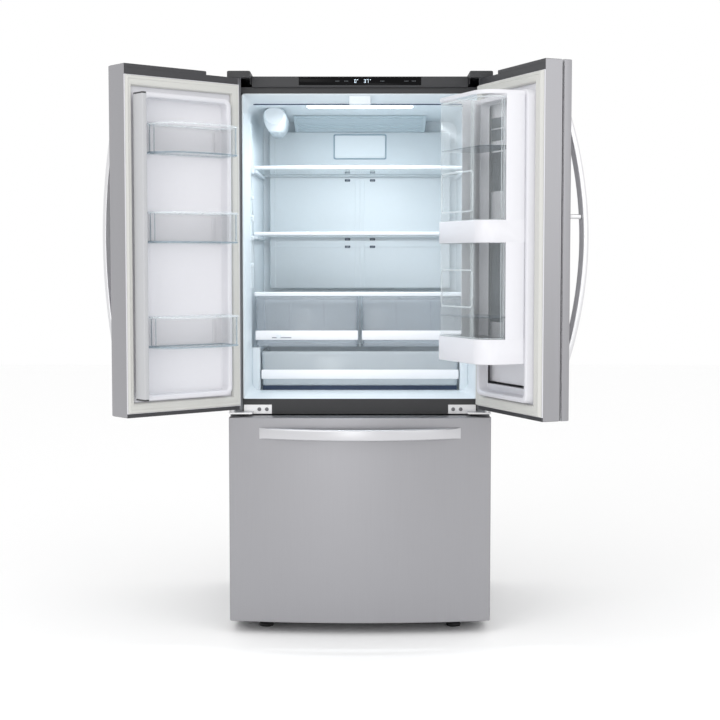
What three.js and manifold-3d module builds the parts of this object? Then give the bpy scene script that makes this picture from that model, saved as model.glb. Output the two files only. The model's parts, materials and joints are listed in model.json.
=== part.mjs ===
// French door refrigerator with a bottom freezer drawer and a door-in-door on the right.
// Millimetres, +X to the right, +Y to the back, +Z up. The model is laid out about the middle of the
// cabinet's front plane, and at the end is moved so that its box stands centred on the origin.
import * as THREE from 'three';
import { mergeVertices } from 'three/addons/utils/BufferGeometryUtils.js';
import Module from 'manifold-3d';

// ---------------------------------------------------------------- driving dimensions
const gap = 0.3; // clearance left between pieces that touch
const cabinet = { width: 832, depth: 711, top: 1768, base: 24, sheet: 1.2, flange: 39 };
const half = cabinet.width / 2;
const bow = { side: 70, rise: 34, steps: 12 }; // curved front: depth at its sides, extra depth in the middle
const door = {
  bottom: 717.5, capTop: 32, capBottom: 12, inner: 16, // inner: door's inner plane ahead of the cabinet
  edgeGap: 1.5, // from each free edge to the middle
  skin: 1.2,
  plate: 3, // wall of the plastic inner panels
};
const hinge = { x: half - 10, y: -45, pin: 5, bore: 5.6, plate: 4 };
const rest = { left: 139.6, right: 112.4 }; // degrees that each door stands open at rest
const drawer = { bottom: 40, top: 694, cap: 12 };

// Mouth of the fresh food liner.
const opening = { halfWidth: half - 44, floor: 746, ceiling: cabinet.top - 55 };
const fresh = {
  halfWidth: half - 54, rearHalfWidth: half - 66, floor: 758, ceiling: cabinet.top - 78,
  mouth: 55, depth: 640, wall: 3,
};
const freezer = {
  halfWidth: half - 48, floor: 92, top: 672, depth: 600, stepDepth: 480, stepTop: 275, wall: 3,
};
const machineTop = 262; // height of the machine room
const doorClear = 165; // doors' baskets reach in this far, so shelves and bins start here
const shelfBack = 606;

const gasketBand = { hingeSide: 30, freeLeft: 15, freeRight: 34, ends: 32, lift: 11.4 };
const dyke = { width: 18, reach: 34, gapToOpening: 7 };
const flap = { thick: 16, width: 52, low: 772, high: fresh.ceiling - 9, x: -30 };

// ---------------------------------------------------------------- solids
const wasm = await Module();
wasm.setup();

function toSolid(geometry) {
  const bare = geometry.clone();
  bare.deleteAttribute('normal');
  bare.deleteAttribute('uv');
  const merged = mergeVertices(bare, 1e-4);
  return new wasm.Manifold(new wasm.Mesh({
    numProp: 3,
    vertProperties: new Float32Array(merged.attributes.position.array),
    triVerts: new Uint32Array(merged.index.array),
  }));
}

function toGeometry(solid) {
  const mesh = solid.getMesh();
  const geometry = new THREE.BufferGeometry();
  geometry.setAttribute('position', new THREE.BufferAttribute(mesh.vertProperties, 3));
  geometry.setIndex(new THREE.BufferAttribute(mesh.triVerts, 1));
  const flat = geometry.toNonIndexed();
  flat.computeVertexNormals();
  return flat;
}

const cut = (base, ...tools) => toGeometry(tools.reduce((s, t) => s.subtract(toSolid(t)), toSolid(base)));
const join = (base, ...more) => toGeometry(more.reduce((s, t) => s.add(toSolid(t)), toSolid(base)));
const common = (a, b) => toGeometry(toSolid(a).intersect(toSolid(b)));

// Box given by its low and high corner in each direction.
function block(x0, x1, y0, y1, z0, z1) {
  return new THREE.BoxGeometry(x1 - x0, y1 - y0, z1 - z0)
    .translate((x0 + x1) / 2, (y0 + y1) / 2, (z0 + z1) / 2);
}

const outline = (points) => new THREE.Shape(points.map(([a, b]) => new THREE.Vector2(a, b)));

// Plan outline (x, y) raised from z0 to z1.
function rise(points, z0, z1) {
  return new THREE.ExtrudeGeometry(outline(points), { depth: z1 - z0, bevelEnabled: false })
    .translate(0, 0, z0);
}

// Side profile (y, z) run from x0 to x1.
const profileAxes = new THREE.Matrix4().makeBasis(
  new THREE.Vector3(0, 1, 0), new THREE.Vector3(0, 0, 1), new THREE.Vector3(1, 0, 0),
);
function run(points, x0, x1) {
  return new THREE.ExtrudeGeometry(outline(points), { depth: x1 - x0, bevelEnabled: false })
    .applyMatrix4(profileAxes).translate(x0, 0, 0);
}

// Front outline (x, z) run from y0 to y1.
function push(points, y0, y1) {
  return new THREE.ExtrudeGeometry(outline(points), { depth: y1 - y0, bevelEnabled: false })
    .rotateX(Math.PI / 2).translate(0, y1, 0);
}

// Upright cylinder about (x, y).
function post(x, y, radius, z0, z1, sides = 20) {
  return new THREE.CylinderGeometry(radius, radius, z1 - z0, sides).rotateX(Math.PI / 2)
    .translate(x, y, (z0 + z1) / 2);
}

// Cylinder along X about (y, z).
function rod(x0, x1, y, z, radius, sides = 20) {
  return new THREE.CylinderGeometry(radius, radius, x1 - x0, sides).rotateZ(Math.PI / 2)
    .translate((x0 + x1) / 2, y, z);
}

// The same shape on the other side of the cabinet, faces still pointing out.
function mirrored(geometry) {
  const flat = geometry.index ? geometry.toNonIndexed() : geometry.clone();
  const p = flat.attributes.position;
  for (let i = 0; i < p.count; i += 3) {
    const [x, y, z] = [p.getX(i + 1), p.getY(i + 1), p.getZ(i + 1)];
    p.setXYZ(i + 1, p.getX(i + 2), p.getY(i + 2), p.getZ(i + 2));
    p.setXYZ(i + 2, x, y, z);
  }
  flat.scale(-1, 1, 1);
  flat.computeVertexNormals();
  return flat;
}

// Rectangular ring in the XZ plane between y0 and y1, with its own band width on each side.
function ring(x0, x1, z0, z1, bands, y0, y1) {
  return cut(
    block(x0, x1, y0, y1, z0, z1),
    block(x0 + bands.low, x1 - bands.high, y0 - 1, y1 + 1, z0 + bands.ends, z1 - bands.ends),
  );
}

// Open-topped bin: outer block less its inside.
function bin(x0, x1, y0, y1, z0, z1, wall) {
  const inside = block(x0 + wall, x1 - wall, y0 + wall, y1 - wall, z0 + wall, z1 + 1);
  return cut(block(x0, x1, y0, y1, z0, z1), inside);
}

// ---------------------------------------------------------------- finishes
const finish = (color, roughness, metalness, extra = {}) =>
  new THREE.MeshStandardMaterial({ color, roughness, metalness, ...extra });
const paint = {
  steel: finish(0xa9aaae, 0.35, 0.9),
  darkPlastic: finish(0x55565a, 0.5, 0.1),
  greyPaint: finish(0x8d8f94, 0.5, 0.4),
  linerWhite: finish(0xe9edf0, 0.35, 0),
  white: finish(0xeeeef2, 0.35, 0),
  gasket: finish(0xcfd0c8, 0.6, 0),
  clear: finish(0xdfe8ea, 0.1, 0, { transparent: true, opacity: 0.4 }),
  glass: finish(0xd8e8ea, 0.05, 0, { transparent: true, opacity: 0.35 }),
  black: finish(0x08080a, 0.1, 0),
  lamp: finish(0xffffff, 0.3, 0),
  zinc: finish(0xb8b8ba, 0.35, 0.9),
  rubber: finish(0x222222, 0.8, 0),
  enamelBlack: finish(0x17181a, 0.4, 0.3),
};

// ---------------------------------------------------------------- scene groups
const fridge = new THREE.Group();
const layout = new THREE.Group();
fridge.add(layout);

// Group turned about an upright axis at (x, y); its children are laid out in the closed position.
function turned(parent, x, y, degrees) {
  const pivot = new THREE.Group();
  pivot.position.set(x, y, 0);
  pivot.rotation.z = THREE.MathUtils.degToRad(degrees);
  const inside = new THREE.Group();
  inside.position.set(-x, -y, 0);
  pivot.add(inside);
  parent.add(pivot);
  return inside;
}

const leftDoor = turned(layout, -hinge.x, hinge.y, -rest.left);
const rightDoor = turned(layout, hinge.x, hinge.y, rest.right);

function add(name, geometry, material, parent = layout) {
  const mesh = new THREE.Mesh(geometry, material);
  mesh.name = name;
  parent.add(mesh);
}

// ---------------------------------------------------------------- worked-out places
const doorTop = cabinet.top;
const skinHalf = half - 0.5; // doors stop just inside the cabinet's sides
const panelLow = door.bottom + door.capBottom; // between the end caps
const panelHigh = doorTop - door.capTop;

// Depth of the curved front at a distance x from the middle.
const bowY = (x, inset = 0) => -(bow.side + bow.rise * (1 - (x / half) ** 2)) + inset;

// Points of the curved front from x0 to x1.
function bowPoints(x0, x1, inset = 0) {
  return Array.from({ length: bow.steps + 1 }, (_, i) => {
    const x = x0 + (x1 - x0) * i / bow.steps;
    return [x, bowY(x, inset)];
  });
}

// ---------------------------------------------------------------- cabinet shell
const sideTop = cabinet.top - cabinet.sheet - gap;
const sidePlan = [
  [-half, 0], [-half + cabinet.flange, 0], [-half + cabinet.flange, cabinet.sheet],
  [-half + cabinet.sheet, cabinet.sheet], [-half + cabinet.sheet, cabinet.depth - cabinet.sheet - gap],
  [-half, cabinet.depth - cabinet.sheet - gap],
];
const side = rise(sidePlan, cabinet.base, sideTop);
add('side_panel_left', side, paint.greyPaint);
add('side_panel_right', mirrored(side), paint.greyPaint);

const trim = {
  front: -12, back: 33, split: cabinet.top - 32.5, bottom: cabinet.top - 51, halfUpper: half - 75,
  lowerSet: 11,
};
add('top_panel', block(-half, half, trim.back + gap, cabinet.depth - cabinet.sheet - gap,
  cabinet.top - cabinet.sheet, cabinet.top), paint.greyPaint);
add('back_panel', block(-half, half, cabinet.depth - cabinet.sheet, cabinet.depth,
  machineTop + gap, cabinet.top), paint.greyPaint);

// Rear cover of the machine room, with rows of air slots.
const slot = { width: 60, height: 6, pitchX: 80, pitchZ: 26, columns: 8, rows: 6 };
const slotTools = [];
for (let c = 0; c < slot.columns; c += 1) {
  for (let r = 0; r < slot.rows; r += 1) {
    const x = (c - (slot.columns - 1) / 2) * slot.pitchX;
    const z = (cabinet.base + machineTop) / 2 + (r - (slot.rows - 1) / 2) * slot.pitchZ;
    slotTools.push(block(x - slot.width / 2, x + slot.width / 2, cabinet.depth - 5, cabinet.depth + 5,
      z - slot.height / 2, z + slot.height / 2));
  }
}
add('machine_cover', cut(block(-half, half, cabinet.depth - cabinet.sheet, cabinet.depth,
  cabinet.base, machineTop), ...slotTools), paint.greyPaint);

// Base pan with a yoke and pin for each rear roller.
const roller = { x: half - 86, y: 640, radius: 18, width: 20, pin: 4, clear: 2, ear: 3 };
const baseTop = cabinet.base + 1.5;
const innerHalf = half - cabinet.sheet - gap;
const rollerCuts = [];
const rollerYokes = [];
for (const sign of [-1, 1]) {
  const cx = sign * roller.x;
  const w = roller.width / 2 + roller.clear;
  rollerCuts.push(block(cx - w, cx + w, roller.y - roller.radius - 4, roller.y + roller.radius + 4,
    cabinet.base - 1, baseTop + 1));
  for (const end of [-1, 1]) {
    const ear = cx + end * (w + roller.ear / 2);
    rollerYokes.push(block(ear - roller.ear / 2, ear + roller.ear / 2, roller.y - 9, roller.y + 9,
      roller.radius - 8, baseTop));
  }
  rollerYokes.push(rod(cx - w - 1, cx + w + 1, roller.y, roller.radius, roller.pin, 12));
}
const basePlate = block(-innerHalf, innerHalf, 4, cabinet.depth - 2, cabinet.base, baseTop);
add('base_pan', join(cut(basePlate, ...rollerCuts), ...rollerYokes), paint.greyPaint);

const rollerProfile = [
  [roller.pin + gap, -roller.width / 2], [roller.radius - 2, -roller.width / 2],
  [roller.radius, -roller.width / 2 + 2], [roller.radius, roller.width / 2 - 2],
  [roller.radius - 2, roller.width / 2], [roller.pin + gap, roller.width / 2],
  [roller.pin + gap, -roller.width / 2],
];
for (const [label, sign] of [['left', -1], ['right', 1]]) {
  const wheel = new THREE.LatheGeometry(rollerProfile.map(([r, h]) => new THREE.Vector2(r, h)), 24)
    .rotateZ(Math.PI / 2).translate(sign * roller.x, roller.y, roller.radius);
  add(`rear_roller_${label}`, wheel, paint.rubber);
}

// Levelling foot: a disc on a threaded stem, screwed up to the base pan.
const foot = { x: half - 111, y: 32, radius: 23, height: 12, stem: 8 };
const footProfile = [
  [0, 0], [foot.radius - 2, 0], [foot.radius, 3], [foot.radius, foot.height - 3],
  [foot.radius - 5, foot.height], [foot.stem, foot.height], [foot.stem, cabinet.base - gap],
  [0, cabinet.base - gap],
];
for (const [label, sign] of [['left', -1], ['right', 1]]) {
  const shape = new THREE.LatheGeometry(footProfile.map(([r, h]) => new THREE.Vector2(r, h)), 24)
    .rotateX(Math.PI / 2).translate(sign * foot.x, foot.y, 0);
  add(`front_foot_${label}`, shape, paint.rubber);
}

// ---------------------------------------------------------------- liners
// Plan and side profile of the fresh food space, grown outwards by a wall.
function freshBody(grow, front) {
  const plan = [
    [-opening.halfWidth - grow, front], [-fresh.halfWidth - grow, fresh.mouth],
    [-fresh.rearHalfWidth - grow, fresh.depth + grow], [fresh.rearHalfWidth + grow, fresh.depth + grow],
    [fresh.halfWidth + grow, fresh.mouth], [opening.halfWidth + grow, front],
  ];
  const profile = [
    [front, opening.floor - grow], [fresh.mouth, fresh.floor - grow],
    [fresh.depth + grow, fresh.floor - grow],
    [fresh.depth + grow, fresh.ceiling + grow], [fresh.mouth, fresh.ceiling + grow],
    [front, opening.ceiling + grow],
  ];
  return common(rise(plan, opening.floor - 20, opening.ceiling + 20), run(profile, -half, half));
}
const linerFront = cabinet.sheet + gap;
const freshShell = cut(freshBody(fresh.wall, linerFront), freshBody(0, linerFront - 0.5));

// Block that steers the mullion flap shut, moulded on the ceiling behind the mouth.
const guide = { half: 34, front: 8, back: 40, deep: 16 };
const guideLow = flap.high + 3;
const guideBlock = cut(
  block(-guide.half, guide.half, guide.front, guide.back, guideLow, guideLow + guide.deep),
  block(-guide.half - 1, guide.half - 8, guide.front + 10, guide.front + 16, guideLow - 1, guideLow + 12),
);

// Side blocks that carry the pantry drawer between them and the crispers above.
const pantry = { half: fresh.rearHalfWidth - 22, low: 774, high: 888, strip: 796 };
const crisper = { outer: fresh.rearHalfWidth - 3, inner: 6, low: 903, strip: 926 };
const sideBlock = block(-fresh.rearHalfWidth - 12, -pantry.half - 3, doorClear, shelfBack,
  fresh.floor - 1, crisper.low - 2);
add('fridge_liner', join(freshShell, guideBlock, sideBlock, mirrored(sideBlock)), paint.linerWhite);

function freezerBody(grow, front) {
  return run([
    [front, freezer.floor - grow], [freezer.stepDepth + grow, freezer.floor - grow],
    [freezer.stepDepth + grow, freezer.stepTop - grow], [freezer.depth + grow, freezer.stepTop - grow],
    [freezer.depth + grow, freezer.top + grow], [front, freezer.top + grow],
  ], -freezer.halfWidth - grow, freezer.halfWidth + grow);
}
const evaporatorCover = { front: 585, low: 300, high: 655, half: freezer.halfWidth - 18 };
add('freezer_liner', join(
  cut(freezerBody(freezer.wall, linerFront), freezerBody(0, linerFront - 1)),
  block(-evaporatorCover.half, evaporatorCover.half, evaporatorCover.front, freezer.depth + 1,
    evaporatorCover.low, evaporatorCover.high),
), paint.linerWhite);

// Rail between the two compartments: its face closes the front, its box sits between the liners.
const mullion = { low: 697, face: -1, deep: 40 };
const mullionHalf = half - cabinet.flange - gap;
const mullionHigh = opening.floor - fresh.wall - gap;
add('center_mullion', run([
  [mullion.face, mullion.low], [mullion.deep, mullion.low], [mullion.deep, mullionHigh],
  [linerFront - gap, mullionHigh], [linerFront - gap, opening.floor - gap],
  [mullion.face, opening.floor - gap],
], -mullionHalf, mullionHalf), paint.darkPlastic);

// ---------------------------------------------------------------- top trim with the display
const display = { half: 193, low: cabinet.top - 27, high: cabinet.top - 2, deep: 4, proud: 1 };
const trimTop = cabinet.top;
const trimUpper = block(-trim.halfUpper, trim.halfUpper, trim.front, trim.back, trim.split, trimTop);
const trimLower = block(-mullionHalf, mullionHalf, trim.front + trim.lowerSet, trim.back,
  trim.bottom, trim.split);
const displayHole = block(-display.half - gap, display.half + gap, trim.front - 1,
  trim.front - display.proud + display.deep + gap, display.low - gap, display.high + gap);
add('top_trim', cut(join(trimUpper, trimLower), displayHole), paint.darkPlastic);
add('display_panel', block(-display.half, display.half, trim.front - display.proud,
  trim.front - display.proud + display.deep, display.low, display.high), paint.black);

// ---------------------------------------------------------------- fittings on the ceiling and the back
const lamp = { half: 173, front: 112, back: 134, deep: 6 };
add('ceiling_lamp', block(-lamp.half, lamp.half, lamp.front, lamp.back,
  fresh.ceiling - gap - lamp.deep, fresh.ceiling - gap), paint.lamp);

const filter = {
  left: -fresh.rearHalfWidth + 25, right: -fresh.rearHalfWidth + 110, front: 178, back: 470,
  low: fresh.ceiling - 77, taper: 12, cap: 8,
};
const filterTop = fresh.ceiling - gap;
add('filter_housing', join(
  push([
    [filter.left, filterTop], [filter.left + filter.taper, filter.low + 16],
    [filter.left + 2 * filter.taper, filter.low], [filter.right - filter.taper, filter.low],
    [filter.right, filter.low + 16], [filter.right, filterTop],
  ], filter.front + filter.cap, filter.back),
  push([
    [filter.left + 2, filterTop], [filter.left + filter.taper, filter.low + 20],
    [filter.right - filter.taper, filter.low + 20], [filter.right - 2, filterTop],
  ], filter.front, filter.front + filter.cap + 1),
), paint.linerWhite);

const cover = { top: 1085, rim: 14, rimDeep: 14 }; // over the crispers
const shelf = { half: fresh.rearHalfWidth - 1, rim: 12, rimDeep: 16, glass: 4, edge: 3 };
// Height of a shelf's top, at its part of the way from the crisper cover to the ceiling.
const shelfTop = (part) => cover.top + (fresh.ceiling - cover.top) * part;
const upperTop = shelfTop(83 / 121);
const lowerTop = shelfTop(198 / 605);
const duct = {
  half: fresh.rearHalfWidth - 25, face: 612, low: cover.top + 3, high: fresh.ceiling - 40,
  slotW: 20, slotH: 8, slotX: 45,
};
const outlet = { half: 95, low: fresh.ceiling - 138, high: fresh.ceiling - 48, proud: 3, rim: 6 };
const slotLevels = [upperTop + 4, upperTop - 23, lowerTop - 17, lowerTop - 44];
const ductSlots = slotLevels.flatMap((z) => [-1, 1].map((sign) => block(
  sign * duct.slotX - duct.slotW / 2, sign * duct.slotX + duct.slotW / 2, duct.face - 5, fresh.depth,
  z - duct.slotH / 2, z + duct.slotH / 2,
)));
const outletFrame = ring(-outlet.half, outlet.half, outlet.low, outlet.high,
  { low: outlet.rim, high: outlet.rim, ends: outlet.rim }, duct.face - outlet.proud, duct.face + 1);
const louvre = run([
  [420, filterTop], [fresh.depth - gap, filterTop], [fresh.depth - gap, duct.high - 1], [560, duct.high - 1],
], -230, 230);
const ductShell = cut(
  join(block(-duct.half, duct.half, duct.face, fresh.depth - gap, duct.low, duct.high), outletFrame),
  block(-duct.half + 3, duct.half - 3, duct.face + 3, fresh.depth, duct.low + 3, duct.high - 3),
  ...ductSlots,
);
add('duct_cover', join(ductShell, louvre), paint.linerWhite);

// ---------------------------------------------------------------- shelves
// Glass pane held in a rim across its front.
for (const [label, top] of [['upper', upperTop], ['lower', lowerTop]]) {
  add(`shelf_${label}`, join(
    block(-shelf.half, shelf.half, doorClear + shelf.rimDeep - 1, shelfBack,
      top - shelf.edge - shelf.glass, top - shelf.edge),
    block(-shelf.half, shelf.half, doorClear, doorClear + shelf.rimDeep, top - shelf.rim, top),
  ), paint.glass);
}

// ---------------------------------------------------------------- crispers and pantry drawer
const divider = { half: 4 };
add('crisper_cover', join(
  block(-shelf.half, shelf.half, doorClear, doorClear + cover.rimDeep, cover.top - cover.rim, cover.top),
  block(-shelf.half, shelf.half, doorClear + cover.rimDeep - 1, shelfBack, cover.top - 7, cover.top - 3),
  block(-divider.half, divider.half, doorClear + 18, shelfBack, crisper.low - 1, cover.top - 6),
), paint.glass);

// Each drawer is a clear bin with a grip strip across its front; the strip is set a little proud.
const strip = { proud: 3, high: 31 };
function drawerBin(x0, x1, low, high, stripLow) {
  const front = doorClear + 6;
  const body = bin(x0, x1, front, shelfBack - 6, low, high, 2.5);
  return join(body, block(x0, x1, front - strip.proud, front + 1, stripLow, stripLow + strip.high));
}
const crisperHigh = cover.top - cover.rim - 2;
const crisperBin = (x0, x1) => drawerBin(x0, x1, crisper.low, crisperHigh, crisper.strip);
add('crisper_left', crisperBin(-crisper.outer, -crisper.inner), paint.clear);
add('crisper_right', crisperBin(crisper.inner, crisper.outer), paint.clear);

const humidity = { x: -270, half: 9, high: 14 };
const humidityFront = doorClear + 6 - strip.proud;
add('humidity_slider', block(humidity.x - humidity.half, humidity.x + humidity.half, humidityFront - gap - 4,
  humidityFront - gap, crisper.strip + 4, crisper.strip + 4 + humidity.high), paint.white);

add('pantry_drawer', drawerBin(-pantry.half, pantry.half, pantry.low, pantry.high, pantry.strip),
  paint.clear);

// ---------------------------------------------------------------- hinges
// Top bracket: plate on the cabinet top, reaching forward over the door, with its pin pointing down.
const topPlate = { inner: half - 66, outer: half, back: 90, front: hinge.y - 12 };
const topPlateLow = cabinet.top + gap;
const pinFoot = cabinet.top - 24;
const topBracket = join(
  block(topPlate.inner, topPlate.outer, topPlate.front, topPlate.back,
    topPlateLow, topPlateLow + hinge.plate),
  post(hinge.x, hinge.y, hinge.pin, pinFoot, topPlateLow + 1),
);
add('hinge_top_left', mirrored(topBracket), paint.zinc);
add('hinge_top_right', topBracket, paint.zinc);

// Plastic cover over the bracket, with a skirt in front of the end of the trim.
const coverTop = 1780;
const coverLow = topPlateLow + hinge.plate + gap;
const hingeCover = join(
  block(trim.halfUpper + 2, half, topPlate.front - 4, topPlate.back + 8, coverLow, coverTop),
  block(trim.halfUpper + 2, topPlate.inner - 2, trim.front + 2, -1, cabinet.top - 24, coverLow + 1),
);
add('hinge_cover_left', mirrored(hingeCover), paint.darkPlastic);
add('hinge_cover_right', hingeCover, paint.darkPlastic);

// Middle bracket: screwed to the mullion, its arm carries the pin that the door stands on.
const mid = { inner: half - 133, outer: half - 44, low: 698, high: 727, armLow: 702, armHigh: 707 };
const midPlateBack = mullion.face - gap;
const midBracket = join(
  block(mid.inner, mid.outer, midPlateBack - 3, midPlateBack, mid.low, mid.high),
  block(mid.outer - 30, half, hinge.y - 12, midPlateBack - 1, mid.armLow, mid.armHigh),
  post(hinge.x, hinge.y, hinge.pin, mid.armHigh - 1, door.bottom + door.capBottom - 2),
  post(hinge.x, hinge.y, hinge.pin + 5, mid.armHigh - 1, door.bottom - gap),
);
add('hinge_middle_left', mirrored(midBracket), paint.zinc);
add('hinge_middle_right', midBracket, paint.zinc);

// ---------------------------------------------------------------- doors
// All of this is laid out closed and on the left; the right door's pieces are mirrored.
const freeEdge = -door.edgeGap;
const hingeEdge = -skinHalf;
const hingeZone = 110; // the top cap is lower within this distance of the pin
const hingeZoneDrop = 11;

// End cap with the section of the door, bored for the hinge pin.
function endCap(z0, z1, outer) {
  const plan = [...outer, [freeEdge, -door.inner], [hingeEdge, -door.inner]];
  const isTop = z1 > panelHigh; // the pin enters a top cap from above and a bottom cap from below
  const pinHole = post(-hinge.x, hinge.y, hinge.bore, z0 + (isTop ? 4 : -1), z1 + (isTop ? 1 : -1.5));
  return cut(rise(plan, z0, z1), pinHole);
}
function topCap(outer) {
  const step = block(hingeEdge - 1, -hinge.x + hingeZone, -half, 0, doorTop - hingeZoneDrop, doorTop + 1);
  return cut(endCap(panelHigh + gap, doorTop, outer), step);
}

// Thin curved steel shell round the outside, from end cap to end cap.
function skinShell(outerY) {
  const wall = door.skin;
  const outside = [
    ...outerY(hingeEdge, freeEdge, 0), [freeEdge, -door.inner], [freeEdge - wall, -door.inner],
  ];
  const inside = [...outerY(hingeEdge + wall, freeEdge - wall, wall)].reverse();
  return rise([...outside, ...inside, [hingeEdge + wall, -door.inner], [hingeEdge, -door.inner]],
    panelLow + gap, panelHigh);
}

// Gasket ring on the inner plane.
function gasketRing(free) {
  return ring(hingeEdge + 6, freeEdge - 2.5, panelLow + 2, panelHigh - 2,
    { low: gasketBand.hingeSide, high: free, ends: gasketBand.ends },
    -door.inner + door.plate + gap, -door.inner + door.plate + gap + gasketBand.lift);
}

// White inner panel: a plate over the inner plane with a raised dyke that enters the cabinet.
const dykeHinge = -opening.halfWidth + dyke.gapToOpening;
const dykeLow = opening.floor + 22;
const dykeHigh = flap.high + 5;
function innerPanel(dykeFree) {
  const back = -door.inner + gap;
  const plate = block(hingeEdge, freeEdge, back, back + door.plate - gap, panelLow + gap, panelHigh);
  const raised = ring(dykeHinge, dykeFree, dykeLow, dykeHigh,
    { low: dyke.width, high: dyke.width, ends: dyke.width }, back, back + dyke.reach);
  return join(plate, raised);
}

const leftOuter = bowPoints(hingeEdge, freeEdge);
add('left_door_skin', skinShell(bowPoints), paint.steel, leftDoor);
add('left_cap_top', topCap(leftOuter), paint.darkPlastic, leftDoor);
add('left_cap_bottom', endCap(door.bottom, panelLow, leftOuter), paint.darkPlastic, leftDoor);
add('left_door_gasket', gasketRing(gasketBand.freeLeft), paint.gasket, leftDoor);
const leftDykeFree = flap.x - flap.thick * Math.SQRT1_2 - 1; // clear of the flap's turning corner
add('left_door_liner', innerPanel(leftDykeFree), paint.white, leftDoor);

// Folding mullion flap: stands off the free edge when the door is open.
const flapFoot = -door.inner + door.plate + gasketBand.lift + 2;
add('mullion_flap', block(flap.x - flap.thick / 2, flap.x + flap.thick / 2, flapFoot, flapFoot + flap.width,
  flap.low, flap.high), paint.greyPaint, leftDoor);

// Clear door bins: the plan has a long faceted front, hung between the sides of the dyke.
const binBack = -door.inner + door.plate + 3;
const binHinge = dykeHinge + dyke.width + 2;
const binFree = leftDykeFree - dyke.width - 2;
function binPlan(inset) {
  return [
    [binFree - inset, binBack + inset], [binFree - inset, 22], [binFree - 49 - inset * 0.3, 98 - inset],
    [binFree - 130, 108 - inset], [binFree - 210, 104 - inset], [binHinge + inset, 84 - inset],
    [binHinge + inset, binBack + inset],
  ];
}
const binWall = 2.5;
const binTop = (part) => dykeLow + (dykeHigh - dykeLow) * part; // as a part of the dyke's height
for (const [index, high, tall] of [
  [1, binTop(828 / 918), 94], [2, binTop(566 / 918), 96], [3, binTop(253 / 918), 97],
]) {
  const low = high - tall;
  const inside = rise(binPlan(binWall), low + binWall, high + 1);
  add(`left_door_bin_${index}`, cut(rise(binPlan(0), low, high), inside), paint.clear, leftDoor);
}

// Bow handle: a crescent in side view, run across its width.
const handle = {
  low: door.bottom + 156.5, high: doorTop - 144, reach: 71, thick: 18, width: 30, inset: 32,
  taper: 55, steps: 16,
};
const arch = (t) => Math.sin(Math.PI * t) ** 0.8; // 0 at both ends of the bar, 1 at its middle
function crescent(a0, a1, reach, thick, taper) {
  const arc = (lo, hi, height) => Array.from({ length: handle.steps + 1 }, (_, i) => {
    const t = i / handle.steps;
    return [lo + (hi - lo) * t, height * arch(t)];
  });
  return [...arc(a0, a1, reach), ...arc(a0 + taper, a1 - taper, reach - thick).reverse()];
}
const handleFoot = bowY(handle.inset + handle.width / 2) - 1.2;
const handleFace = bowY(handle.inset - handle.width / 2) - gap;
const doorHandle = run(
  crescent(handle.low, handle.high, handle.reach, handle.thick, handle.taper)
    .map(([z, y]) => [handleFace - y, z]),
  -handle.inset - handle.width / 2, -handle.inset + handle.width / 2,
);
add('left_door_handle', doorHandle, paint.steel, leftDoor);

// ---------------------------------------------------------------- right door, a door in a door
// The split between its frame and its outer door runs from the free edge back to the hinge edge.
const split = { free: 71, hingeSide: 58, gap: 7 };
const splitPoints = (x0, x1, inset = 0) => [x0, x1].map((x) => {
  const t = (x - hingeEdge) / (freeEdge - hingeEdge);
  return [x, -(split.hingeSide + (split.free - split.hingeSide) * t) + inset];
});
const window_ = { hinge: -half + 46, free: -60, low: 806, high: doorTop - 80 }; // opening through the frame
const windowHole = block(window_.hinge, window_.free, -half, half, window_.low, window_.high);

// Frame: steel tray open to the inside, with a jamb round the opening.
const frameSolid = rise([
  ...splitPoints(hingeEdge, freeEdge), [freeEdge, -door.inner], [hingeEdge, -door.inner],
], panelLow + gap, panelHigh);
const frameHollow = rise([
  ...splitPoints(hingeEdge + door.skin, freeEdge - door.skin, door.skin),
  [freeEdge - door.skin, 0], [hingeEdge + door.skin, 0],
], panelLow, panelHigh + 1);
const jambKeep = block(window_.hinge - door.skin, window_.free + door.skin, -half, half,
  window_.low - door.skin, window_.high + door.skin);
const frameTray = toGeometry(toSolid(frameHollow).subtract(toSolid(jambKeep)));
add('right_door_frame', mirrored(cut(frameSolid, frameTray, windowHole)), paint.steel, rightDoor);

const frameOuter = splitPoints(hingeEdge, freeEdge);
add('right_cap_top', mirrored(topCap(frameOuter)), paint.darkPlastic, rightDoor);
add('right_cap_bottom', mirrored(endCap(door.bottom, panelLow, frameOuter)), paint.darkPlastic, rightDoor);
add('right_door_gasket', mirrored(gasketRing(gasketBand.freeRight)), paint.gasket, rightDoor);
const rightDykeFree = freeEdge - 2.5 - gasketBand.freeRight - 4;
add('right_door_liner', mirrored(cut(innerPanel(rightDykeFree), windowHole)), paint.white, rightDoor);

// Basket carrier: a white U-shaped shell round the opening, with a window for each clear basket.
const carrier = {
  free: -56, hinge: -half + 68, front: 158, corner: 60, wall: 3, low: 884, high: fresh.ceiling - 10, side: 80,
};
const carrierBack = -door.inner + dyke.reach + 2 * gap;
function carrierPlan(inset, back = carrierBack) {
  const [xf, xh, front] = [carrier.free - inset, carrier.hinge + inset, carrier.front - inset];
  const r = carrier.corner - inset;
  const arc = Array.from({ length: 7 }, (_, i) => {
    const a = (Math.PI / 2) * i / 6;
    return [xf - r + r * Math.cos(a), front - r + r * Math.sin(a)];
  });
  return [...arc, [xh, front], [xh, back], [xf, back]];
}
const carrierTall = carrier.high - carrier.low;
const bands = {
  tray: 958, midLow: carrier.low + carrierTall * 356 / 796, mid: 66, top: carrier.high - 12,
};
const midHigh = bands.midLow + bands.mid;
const carrierShell = cut(
  rise(carrierPlan(0), carrier.low, carrier.high),
  rise(carrierPlan(carrier.wall, carrierBack - 1), carrier.low + carrier.wall, carrier.high + 1),
  block(carrier.hinge - 20, carrier.free + 1, carrier.side, half, bands.tray, bands.midLow),
  block(carrier.hinge - 20, carrier.free + 1, carrier.side, half, midHigh, bands.top),
);
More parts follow.
